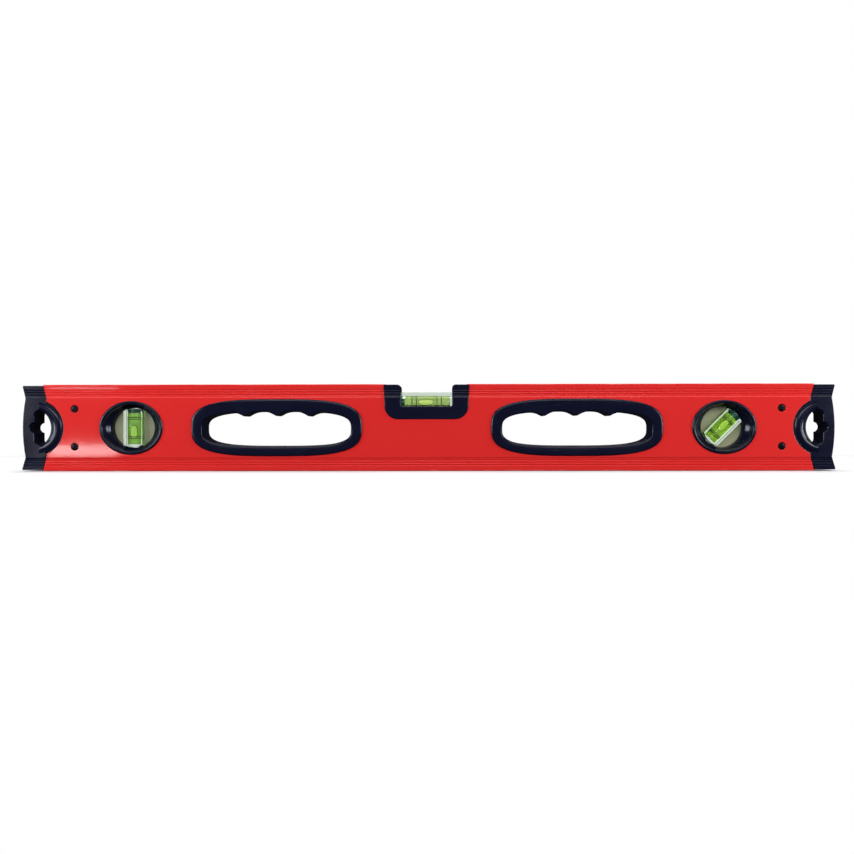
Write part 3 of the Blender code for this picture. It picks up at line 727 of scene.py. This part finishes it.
def notch_outline(by):
    """The notch in the beam's top, inset from the housing's edge."""
    radius = HOUSING_CORNER - by
    side = HOUSING_LOW_X - by
    floor = HOUSING_LOW.z + by
    corner = arc((side - radius, floor + radius), radius, 0, -90, 12)
    right = [(HOUSING_HIGH.x - by, HEIGHT + THROUGH)] + corner
    return right + mirrored(reversed(right), -1)


def make_beam():
    """The hollow beam, cut for the end caps, hand holes, bezels, screws and centre housing."""
    half_length = CUT_OUTER_X + 0.0005
    body = prism(beam_section(), at_x, -half_length, half_length, RED)
    high = HEIGHT - FLANGE
    corners = [(INNER_Y, FLANGE), (INNER_Y, high), (-INNER_Y, high), (-INNER_Y, FLANGE)]
    core = prism(rounded(corners, 0.0008), at_x, -TIP_X, TIP_X, BARE)
    cuts = [core]
    far = TIP_X + THROUGH
    beyond = [(far, HEIGHT + 0.001), (far, -0.001)]
    hand_hole = grip_outline(grown(SLEEVE_HALF, 2 * GAP), GRIP_POWER, HOLE_Z)
    bezel_hole = ellipse(grown(BEZEL_SLEEVE, GAP), 96)
    for side in (1, -1):
        end = mirrored(joint_line(0.0) + beyond, side)
        cuts.append(cutter(end, CUT_EDGE, BARE))
        cuts.append(cutter(shifted(hand_hole, side * GRIP_X, 0.0), material=BARE))
        cuts.append(cutter(shifted(bezel_hole, side * VIAL_X, MID_Z), material=BARE))
        for z in (MID_Z + SCREW_Z, MID_Z - SCREW_Z):
            hole = shifted(circle(HEAD_R + GAP, 40), side * SCREW_X, z)
            cuts.append(cutter(hole, 0.5 * CUT_EDGE, RED))
    cuts.append(cutter(notch_outline(LIP - GAP), material=BARE))
    add_piece("beam_extrusion", cut_by(body, *cuts), ["beam"])


# ---------------------------------------------------------------- end caps and screws


def cap_end():
    """The flared outer end of the right cap, from top to bottom."""
    low = CAP_INSET
    high = HEIGHT - CAP_INSET
    steps = 24
    heights = [WAIST_Z * (1 - 2 * i / steps) for i in range(steps + 1)]
    bulge = [(WAIST_X + BULGE * (1 - (z / WAIST_Z) ** 2), MID_Z + z) for z in heights]
    upper = [(TIP_X - 0.004, high), (TIP_X - 0.0005, high), bulge[0]]
    lower = [bulge[-1], (TIP_X, low), (TIP_X - 0.004, low)]
    upper_corner = rounded(upper, CAP_CORNER, 4, closed=False)[1:-1]
    lower_corner = rounded(lower, CAP_CORNER, 4, closed=False)[1:-1]
    return upper_corner + bulge + lower_corner


def hang_hole(offset):
    """The D-shaped hanging hole about the lobe's centre, with a round nick for a nail facing +u."""
    flat = HANG_FLAT + offset
    radius = HANG_R + offset
    corner = HANG_CORNER + offset
    corner_u = flat - corner
    corner_v = math.sqrt((radius - corner) ** 2 - (corner_u - HANG_CENTRE) ** 2)
    turn = math.degrees(math.atan2(corner_v, corner_u - HANG_CENTRE))
    upper_corner = arc((corner_u, corner_v), corner, 0, turn, 10)
    lower_corner = [(u, -v) for u, v in reversed(upper_corner)]
    round_side = arc((HANG_CENTRE, 0), radius, turn, 360 - turn, 40)[1:-1]
    nick = HANG_NICK_R + offset
    nick_turn = math.degrees(math.acos((flat - HANG_NICK_U) / nick))
    nick_arc = arc((HANG_NICK_U, 0), nick, -nick_turn, nick_turn, 20)
    return upper_corner + round_side + lower_corner + nick_arc


def hang_cutter(side):
    """The hanging hole with a rounded chamfer at each face."""
    face = PLATE_Y
    stages = [
        (HANG_CHAMFER + 0.0016, face + 0.0016),
        (HANG_CHAMFER, face),
        (0.6 * HANG_CHAMFER, face - 0.25 * HANG_CHAMFER),
        (0.25 * HANG_CHAMFER, face - 0.6 * HANG_CHAMFER),
        (0.0, face - 1.1 * HANG_CHAMFER),
    ]
    both = [(by, -y) for by, y in stages] + list(reversed(stages))
    rings = []
    for by, y in both:
        rings.append(at_y(shifted(mirrored(hang_hole(by), side), side * LOBE_X, MID_Z), y))
    return loft(rings)


def lobe_ring(side):
    """The rounded rim round the beam's side of the hanging hole, ended by a slope."""
    rim = LOBE_R - GAP
    crest = WEB_Y + RING_PROUD
    points = [
        (0.0, crest - RING_DEPTH),
        (RING_CREST_R - 0.0035, crest - RING_DEPTH),
        (RING_CREST_R - 0.0025, crest - 0.0008),
        (RING_CREST_R - 0.0012, crest - 0.0002),
        (RING_CREST_R, crest),
        (RING_CREST_R + 0.0018, crest - 0.0002),
        (rim - 0.0011, crest - 0.0010),
        (rim, crest - 0.0024),
    ]
    half_profile = rounded(points, 0.0007, 4, closed=False) + [(rim, 0.0)]
    profile = half_profile[:-1] + [(r, -y) for r, y in reversed(half_profile[:-1])]
    matrix = Matrix.Translation((side * LOBE_X, 0, MID_Z)) @ Matrix.Rotation(math.pi / 2, 4, "X")
    slope = 0.0008
    front = [(RING_END_X + slope, crest - RING_DEPTH), (RING_END_X - slope, crest + 0.001)]
    rear = [(x, -y) for x, y in reversed(front)]
    far = TIP_X + THROUGH
    outline = mirrored(front + [(far, THROUGH), (far, -THROUGH)] + rear, side)
    end_cut = prism(outline, at_z, -HEIGHT, 2 * HEIGHT)
    return cut_by(turned(profile, matrix, 112), end_cut)


def make_cap(name, side):
    """One moulding: the outer body, the ring round its hanging hole, and two arms."""
    edge = joint_line(GAP, RING_CREST_R)
    inner_edge = [(x, max(CAP_INSET, min(HEIGHT - CAP_INSET, z))) for x, z in edge]
    outline = mirrored(inner_edge + cap_end(), side)
    body = plate(outline, -PLATE_Y, PLATE_Y, CAP_EDGE, BLACK)
    section = prism(beam_section(PLATE_Y - WEB_Y), at_x, -TIP_X - THROUGH, TIP_X + THROUGH)
    steps = [("INTERSECT", section), ("UNION", lobe_ring(side))]
    arm_y = INNER_Y - GAP
    reach = sorted((side * ARM_X, side * (LOBE_X - 0.002)))
    for sign in (1, -1):
        ends = sorted((MID_Z + sign * ARM_NEAR_Z, MID_Z + sign * ARM_FAR_Z))
        arm = box((reach[0], -arm_y, ends[0]), (reach[1], arm_y, ends[1]), ARM_EDGE)
        steps.append(("UNION", arm))
    steps.append(("DIFFERENCE", hang_cutter(side)))
    for sign in (1, -1):
        pilot = shifted(circle(SHANK_R + GAP, 24), side * SCREW_X, MID_Z + sign * SCREW_Z)
        steps.append(("DIFFERENCE", cutter(pilot)))
    add_piece(name + "_moulding", combined(body, *steps), [name])


def screw_solid():
    """A pan-head screw with a tapered cross recess and a thread, pointing down its own -Z."""
    round_r = 0.0007
    edge = 0.0001
    dome = arc((HEAD_R - round_r, HEAD_HEIGHT - 0.0008), round_r, 80, 0, 5)
    profile = [(0.0, HEAD_HEIGHT), *dome, (HEAD_R, edge), (HEAD_R - edge, 0.0), (SHANK_R, 0.0)]
    root_r = SHANK_R - THREAD_DEPTH
    turns = int((SHANK_LENGTH - 0.0025) / THREAD_PITCH)
    for i in range(turns):
        z = -THREAD_START - i * THREAD_PITCH
        profile.append((SHANK_R, z))
        profile.append((root_r, z - THREAD_PITCH / 2))
    profile += [(root_r, POINT_LENGTH - SHANK_LENGTH), (0.0, -SHANK_LENGTH)]
    body = turned(profile, Matrix.Identity(4), 40, STEEL)
    recess = []
    for length, width in RECESS_ARMS:
        corners = [(-length, -width), (length, -width), (length, width), (-length, width)]
        top = rounded(corners, 0.00030)
        foot = inset(top, 0.00016)
        rings = [
            at_z(foot, HEAD_HEIGHT - RECESS_DEPTH),
            at_z(top, HEAD_HEIGHT),
            at_z(top, 2 * HEAD_HEIGHT),
        ]
        recess.append(loft(rings))
    return cut_by(body, *recess)


def make_screws():
    """Two screws on each face at each end, every one stopped at a different turn."""
    pattern = screw_solid()
    count = 0
    for side, end in ((-1, "left"), (1, "right")):
        for level, z in (("upper", MID_Z + SCREW_Z), ("lower", MID_Z - SCREW_Z)):
            for face, sign in (("front", -1), ("rear", 1)):
                node = f"{end}_cap_screw_{level}_{face}"
                facing = Matrix.Rotation(-sign * math.pi / 2, 4, "X")
                driven = Matrix.Rotation(math.radians(17 + 41 * count), 4, "Z")
                place = Matrix.Translation((side * SCREW_X, sign * INNER_Y, z)) @ facing @ driven
                screw = moved(pattern.copy(), place)
                add_piece(node + "_part", screw, [node])
                count += 1


# ---------------------------------------------------------------- hand grips


def superellipse_point(half, power, s):
    """The point at x = half[0] * sin(s) on the upper side of a superellipse."""
    x = math.sin(s)
    z = (1 - min(1.0, abs(x)) ** power) ** (1 / power)
    return half[0] * x, half[1] * z


def even_stations(count):
    """Values of s that space points evenly along the grip's upper or lower edge."""
    fine = 4000
    values = [-math.pi / 2 + math.pi * i / fine for i in range(fine + 1)]
    points = [superellipse_point(GRIP_HALF, GRIP_POWER, s) for s in values]
    lengths = [0.0]
    for a, b in zip(points, points[1:]):
        lengths.append(lengths[-1] + math.dist(a, b))
    stations = []
    index = 0
    for i in range(count + 1):
        while index < fine and lengths[index] < lengths[-1] * i / count:
            index += 1
        stations.append(values[index])
    return stations


UPPER_STATIONS = even_stations(150)
LOWER_STATIONS = even_stations(90)[1:-1]


def scallop(x):
    """How far the hand hole's upper edge dips at x: cusps at the middle and one pitch to each side."""
    if abs(x) > 1.5 * SCALLOP_PITCH:
        return 0.0
    wave = math.sin(math.pi * x / SCALLOP_PITCH)
    dip = (1 - math.hypot(wave, SCALLOP_SOFTNESS)) / (1 - SCALLOP_SOFTNESS)
    return SCALLOP_DEPTH * max(0.0, dip) ** SCALLOP_POWER


def grip_outline(half, power, centre_z, scalloped=False):
    """A superellipse about (0, centre_z), with finger scallops along its top if asked for."""
    points = []
    for s in UPPER_STATIONS:
        x, z = superellipse_point(half, power, s)
        points.append((x, centre_z + z - (scallop(x) if scalloped else 0.0)))
    for s in reversed(LOWER_STATIONS):
        x, z = superellipse_point(half, power, s)
        points.append((x, centre_z - z))
    return points


def grip_face():
    """The front shell's outlines, from the flange's rim over its crown into the hand hole."""
    seat = -WEB_Y - 0.5 * GAP
    rings = [at_y(grip_outline(GRIP_HALF, GRIP_POWER, MID_Z), seat)]
    width, rise = FLANGE_ROUNDING
    for degrees in range(0, 91, 15):
        a = math.radians(degrees)
        half = grown(GRIP_HALF, -width * (1 - math.cos(a)))
        y = seat - 0.0002 - rise * math.sin(a)
        rings.append(at_y(grip_outline(half, GRIP_POWER, MID_Z), y))
    inwards, height = FLANGE_CROWN
    crown = grip_outline(grown(GRIP_HALF, -inwards), GRIP_POWER, MID_Z)
    rings.append(at_y(crown, seat - height))
    for by, height in GRIP_LIP:
        lip = grip_outline(grown(HOLE_HALF, by), HOLE_POWER, HOLE_Z, True)
        rings.append(at_y(lip, seat - height))
    return rings


def make_grips():
    """Front and rear shells whose sleeves meet in the middle, tongue in rebate."""
    sleeve = grip_outline(SLEEVE_HALF, GRIP_POWER, HOLE_Z)
    tongue = grip_outline(TONGUE_HALF, GRIP_POWER, HOLE_Z)
    rebate = grip_outline(grown(TONGUE_HALF, GAP), GRIP_POWER, HOLE_Z)
    opening = grip_outline(HOLE_HALF, HOLE_POWER, HOLE_Z, True)
    seat = -WEB_Y - 0.5 * GAP
    parting = 0.5 * GAP
    inner_walls = {
        "front": (
            (opening, TONGUE_LENGTH - parting),
            (tongue, TONGUE_LENGTH - parting),
            (tongue, -parting),
            (sleeve, -parting),
            (sleeve, seat),
        ),
        "rear": (
            (opening, -TONGUE_LENGTH - parting),
            (rebate, -TONGUE_LENGTH - parting),
            (rebate, -parting),
            (sleeve, -parting),
            (sleeve, seat),
        ),
    }
    for side, end in ((-1, "left"), (1, "right")):
        for face, walls in inner_walls.items():
            rings = grip_face() + [at_y(outline, y) for outline, y in walls]
            shell = loft(rings, BLACK, looped=True)
            if face == "rear":
                shell = faced_rear(shell)
            shell = moved(shell, Matrix.Translation((side * GRIP_X, 0, 0)))
            node = f"{end}_grip_{face}"
            add_piece(node + "_shell", shell, [node])


# ---------------------------------------------------------------- end vials


def bezel_solid():
    """The front bezel about the vial's centre: an oval flange and a deep funnel to its window."""
    seat = -WEB_Y - 0.5 * GAP
    bottom = -CARRIER_Y - GAP
    wide, tall = BEZEL_HALF
    face = [
        (wide, tall, seat - 0.0002),
        (wide - 0.0003, tall - 0.0003, seat - 0.0006),
        (wide - 0.0012, tall - 0.0012, seat - 0.0010),
        (wide - 0.0024, tall - 0.0024, seat - 0.0004),
        *FUNNEL,
        (WINDOW_R, WINDOW_R, bottom),
    ]
    stages = [(wide, tall, seat)] + smooth_path(face, 5)
    stages += [(*BEZEL_SLEEVE, bottom), (*BEZEL_SLEEVE, seat)]
    rings = [at_y(ellipse((u, v), 112), y) for u, v, y in stages]
    return loft(rings, BLACK, looped=True)


def disc_outline(offset):
    """An end vial's block seen from the front: a disc with two flats, its axis upright."""
    radius = DISC_R + offset
    half_width = DISC_HALF_WIDTH + offset
    reach = math.degrees(math.asin(half_width / radius))
    upper = arc((0, 0), radius, 90 - reach, 90 + reach, 14)
    lower = arc((0, 0), radius, 270 - reach, 270 + reach, 14)
    return upper + lower


def bore_radius(bore, z):
    """A vial's bore is barrel-shaped: it narrows by its waist towards the ends of its block."""
    low, high = bore["block"]
    along = (2 * z - low - high) / (high - low)
    return bore["radius"] - bore["waist"] * along**2


def barrel(bore, low, high, by=0.0):
    """The profile of a length of the bore, top to bottom, widened by a little."""
    steps = 10
    heights = [high - (high - low) * i / steps for i in range(steps + 1)]
    side = [(bore_radius(bore, z) + by, z) for z in heights]
    return [(0.0, high)] + side + [(0.0, low)]


def bubble_outline(half_width, half_length):
    """A long oval with blunt ends, along v."""
    points = []
    for i in range(BUBBLE_STEPS):
        a = 2 * math.pi * i / BUBBLE_STEPS
        u, v = math.cos(a), math.sin(a)
        swell = (abs(u) ** BUBBLE_POWER + abs(v) ** BUBBLE_POWER) ** (-1 / BUBBLE_POWER)
        points.append((half_width * u * swell, half_length * v * swell))
    return points


def bubble_solid(half):
    """A bubble along its own Z, and round its middle a dark ring of painted shade for the dark edge that
    its meniscus shows.
    """
    width, depth, length = half
    oval = bubble_outline(1.0, length)
    quarter = BUBBLE_STEPS // 4
    right_side = oval[-quarter:] + oval[: quarter + 1]
    profile = [(max(u, 0.0), v) for u, v in reversed(right_side)]
    gas = turned(profile, Matrix.Diagonal((width, depth, 1, 1)), 32, GLOWING_GAS)
    # Painted shade: a dark solid ring stands where the bubble's edge only looks dark, as light bends at
    # the meniscus.
    loop = bubble_outline(width, length)
    rings = []
    for i in range(8):
        a = 2 * math.pi * i / 8
        edge = inset(loop, MENISCUS_THICKNESS * (math.cos(a) - 0.4))
        rings.append(at_y(edge, MENISCUS_THICKNESS * math.sin(a)))
    return joined(gas, loft(rings, MENISCUS_SHADE, looped=True))


def index_line(radius, z, vial):
    """One printed line round the bore."""
    outside = radius + LINE_THICKNESS
    low = z - LINE_HALF_WIDTH
    high = z + LINE_HALF_WIDTH
    corners = [(radius, low), (outside, low), (outside, high), (radius, high)]
    return turned(corners, vial, 64, INK, looped=True)


def make_vial_contents(name, vial, bore):
    """The liquid, the printed lines and the plug. The vial's axis is its own Z."""
    profile = barrel(bore, *bore["liquid"], WETTING)
    liquid = turned(profile, vial, 64, LIQUIDS[name])
    add_piece(name + "_fluid", liquid, [name + "_liquid"])

    for i, z in enumerate(bore["lines"]):
        line = index_line(bore_radius(bore, z) + WETTING, z, vial)
        add_piece(f"{name}_line_{i + 1}", line, [])

    foot, head = bore["plug"]
    plug_r = bore_radius(bore, foot) + WETTING
    profile = [
        (0.0, head),
        (plug_r - 0.0003, head),
        (plug_r, head - 0.0003),
        (plug_r, foot + 0.0012),
        (plug_r - 0.0003, foot + 0.0010),
        (plug_r - 0.0003, foot + 0.0007),
        (plug_r, foot + 0.0005),
        (plug_r - 0.0004, foot),
        (0.0, foot + 0.0004),
    ]
    add_piece(name + "_stopper", turned(profile, vial, 48, TEAL), [name + "_plug"])


def make_bubble(name, body, turn, half):
    """A bubble at its CAD node's centre, turned so that its own Z lies along the vial."""
    node = name + "_bubble"
    place = Matrix.Translation(middle_of(node)) @ turn
    add_piece(name + "_gas", moved(bubble_solid(half), place), [node], body)


def make_end_vial(name, side, tilt, body):
    """Two bezels, a carrier, and a vial tilted from the upright."""
    centre = Matrix.Translation((side * VIAL_X, 0, MID_Z))
    turn = Matrix.Rotation(tilt, 4, "Y")
    for face in ("front", "rear"):
        bezel = bezel_solid()
        if face == "rear":
            bezel = faced_rear(bezel)
        node = f"{name}_bezel_{face}"
        add_piece(node + "_shell", moved(bezel, centre), [node])

    disc = plate(ellipse(CARRIER_HALF, 96), -CARRIER_Y, CARRIER_Y, 0.0003, OLIVE)
    slot = moved(prism(disc_outline(GAP), at_y, -THROUGH, THROUGH), turn)
    carrier = moved(cut_by(disc, slot), centre)
    add_piece(name + "_carrier_disc", carrier, [name + "_carrier"])

    vial = centre @ turn
    block = plate(disc_outline(0.0), -BLOCK_Y, BLOCK_Y, 0.0004, ACRYLIC)
    bore = turned(barrel(END_BORE, *END_BORE["block"]), Matrix.Identity(4), 64)
    block = moved(cut_by(block, bore), vial)
    add_piece(name + "_acrylic", block, [name + "_block"])
    make_vial_contents(name, vial, END_BORE)
    upright_half = half_of("plumb_vial_bubble")  # both end vials hold the same bubble
    make_bubble(name, body, turn, tuple(upright_half))


# ---------------------------------------------------------------- centre vial


def housing_outline():
    """The U-shaped centre housing seen from the front."""
    low = (HOUSING_LOW_X - HOUSING_CORNER, HOUSING_LOW.z + HOUSING_CORNER)
    low_corner = arc(low, HOUSING_CORNER, 0, -90, 14)
    floor_end = (NOTCH_X - NOTCH_CORNER, NOTCH_FLOOR_Z + NOTCH_CORNER)
    notch_corner = arc(floor_end, NOTCH_CORNER, -90, 0, 6)
    shoulder = arc((NOTCH_X + SHOULDER_R, HOUSING_HIGH.z - SHOULDER_R), SHOULDER_R, 180, 90, 10)
    top = (HOUSING_HIGH.x, HOUSING_HIGH.z)
    corner = rounded([shoulder[-1], top, low_corner[0]], 0.0008, 4, closed=False)[1:-1]
    right = notch_corner + shoulder + corner + low_corner
    return right + mirrored(reversed(right), -1)


def make_housing():
    """The housing's skin over the beam, and its core in the beam's notch, round a pocket."""
    outer_y = HOUSING_HIGH.y
    body = plate(housing_outline(), -outer_y, outer_y, 0.0006, BLACK)
    half_length = 2 * HOUSING_HIGH.x
    skin = prism(beam_section(HOUSING_PROUD), at_x, -half_length, half_length)
    room = prism(beam_section(0.5 * GAP), at_x, -half_length, half_length)
    core = prism(notch_outline(LIP), at_y, -THROUGH, THROUGH)
    webs = cut_by(room, core)
    pocket_x = CENTRE_HIGH.x + GAP
    pocket_y = BLOCK_Y + GAP
    pocket_low = (-pocket_x, -pocket_y, HOUSING_LOW.z - THROUGH)
    pocket = box(pocket_low, (pocket_x, pocket_y, CENTRE_HIGH.z + GAP))
    housing = combined(body, ("INTERSECT", skin), ("DIFFERENCE", webs), ("DIFFERENCE", pocket))
    add_piece("centre_housing_moulding", housing, ["centre_housing"])


def make_centre_vial():
    """A vial lying along the beam, the white strip under its block, and the ribbed retainer."""
    turn = Matrix.Rotation(-math.pi / 2, 4, "Y")
    vial = Matrix.Translation((0, 0, CENTRE_BORE_Z)) @ turn
    block = box(tuple(CENTRE_LOW), tuple(CENTRE_HIGH), 0.0005, ACRYLIC)
    bore = turned(barrel(CENTRE_BORE, *CENTRE_BORE["block"]), vial, 64)
    add_piece("centre_vial_acrylic", cut_by(block, bore), ["centre_vial_block"])
    make_vial_contents("centre_vial", vial, CENTRE_BORE)
    half = half_of("centre_vial_bubble")
    make_bubble("centre_vial", "centre_bubble", turn, (half.z, half.y, half.x))

    low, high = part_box("centre_reflector")
    strip = box(tuple(low), tuple(high), 0.0002, WHITE)
    add_piece("centre_reflector_strip", strip, ["centre_reflector"])
    low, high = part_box("centre_retainer")
    slab = box(tuple(low), tuple(high), 0.0004, BLACK)
    cuts = []
    for x in RIB_CENTRES:
        cut_low = (x - RIB_HALF_WIDTH, -BLOCK_Y + RIB_END, low.z - 0.001)
        cut_high = (x + RIB_HALF_WIDTH, BLOCK_Y - RIB_END, low.z + RIB_DEPTH)
        cuts.append(box(cut_low, cut_high, 0.0004))
    add_piece("centre_retainer_block", cut_by(slab, *cuts), ["centre_retainer"])


# ---------------------------------------------------------------- stage, lights and camera


def make_floor():
    """A pale floor at the foot of the level, kept from colouring what stands on it."""
    finish = Finish("pale_floor", roughness=0.7)
    cloud = finish.noise(0.5, 2.0)
    finish.set("Base Color", finish.blend(cloud, (0.90, 0.90, 0.90), (0.92, 0.92, 0.92)))
    rim = at_z(shifted(circle(0.60, 96), 0.0, 0.10), -GAP / 2)
    mesh = mesh_from(rim, [tuple(range(len(rim)))], finish.material)
    floor = bpy.data.objects.new("floor", mesh)
    bpy.context.scene.collection.objects.link(floor)
    floor.visible_glossy = False
    floor.visible_diffuse = False


def make_world():
    """White where it is looked at or seen through clear pieces, and dim as a source of light."""
    world = bpy.data.worlds.new("studio")
    world.use_nodes = True
    nodes = world.node_tree.nodes
    links = world.node_tree.links
    path = nodes.new("ShaderNodeLightPath")
    seen = nodes.new("ShaderNodeMath")
    seen.operation = "MAXIMUM"
    links.new(path.outputs["Is Camera Ray"], seen.inputs[0])
    links.new(path.outputs["Is Transmission Ray"], seen.inputs[1])
    level = nodes.new("ShaderNodeMapRange")
    level.inputs["To Min"].default_value = 0.01
    level.inputs["To Max"].default_value = 1.0
    links.new(seen.outputs[0], level.inputs["Value"])
    background = nodes["Background"]
    background.inputs["Color"].default_value = (1, 1, 1, 1)
    links.new(level.outputs["Result"], background.inputs["Strength"])
    bpy.context.scene.world = world


def softbox(name, place, target, size, power, colour=(1.0, 1.0, 1.0)):
    light = bpy.data.lights.new(name, "AREA")
    light.shape = "RECTANGLE"
    light.size, light.size_y = size
    light.energy = power
    light.color = colour
    lamp = bpy.data.objects.new(name, light)
    bpy.context.scene.collection.objects.link(lamp)
    lamp.location = place
    lamp.rotation_euler = (Vector(target) - Vector(place)).to_track_quat("-Z", "Y").to_euler()


def make_lights():
    """Soft light from all round, and small cards for the narrow reflections at the left end."""
    centre = (0, 0, MID_Z)
    for side, name in ((-1, "left"), (1, "right")):
        softbox(name + "_softbox", (side * 0.85, -0.80, 0.30), centre, (0.5, 0.5), 5.6)
        softbox(name + "_card", (side * 0.85, -0.28, 0.11), centre, (0.14, 0.32), 2.8, (0.80, 0.84, 1.0))
    softbox("front_softbox", (0, -1.20, 0.60), centre, (0.8, 0.4), 4.4)
    softbox("top_softbox", (0, 0.15, 1.30), centre, (1.6, 1.2), 17)
    softbox("rear_softbox", (0, 1.00, 1.10), centre, (1.6, 0.6), 9)
    softbox("low_card", (-0.52, -0.85, -0.002), centre, (0.10, 0.016), 0.10)
    softbox("high_card", (-0.52, -0.85, 0.094), centre, (0.10, 0.012), 0.030)


def make_camera():
    """The camera stands level with the beam and almost square to it."""
    data = bpy.data.cameras.new("camera")
    data.sensor_width = 36.0
    data.lens = 48.2
    camera = bpy.data.objects.new("camera", data)
    bpy.context.scene.collection.objects.link(camera)
    place = Vector((0.0137, -0.854, 0.0320))
    target = Vector((0.0004, -WEB_Y, 0.0323))
    roll = Matrix.Rotation(math.radians(-0.08), 4, "Z")
    facing = (target - place).to_track_quat("-Z", "Y").to_matrix().to_4x4()
    camera.matrix_world = Matrix.Translation(place) @ facing @ roll
    bpy.context.scene.camera = camera
    bpy.context.scene.view_settings.view_transform = "Standard"


make_camera()
make_floor()
make_world()
make_lights()
make_beam()
make_cap("left_end_cap", -1)
make_cap("right_end_cap", 1)
make_screws()
make_grips()
make_end_vial("plumb_vial", -1, 0.0, "plumb_bubble")
make_end_vial("angle_vial", 1, ANGLE_TILT, "angle_bubble")
make_housing()
make_centre_vial()
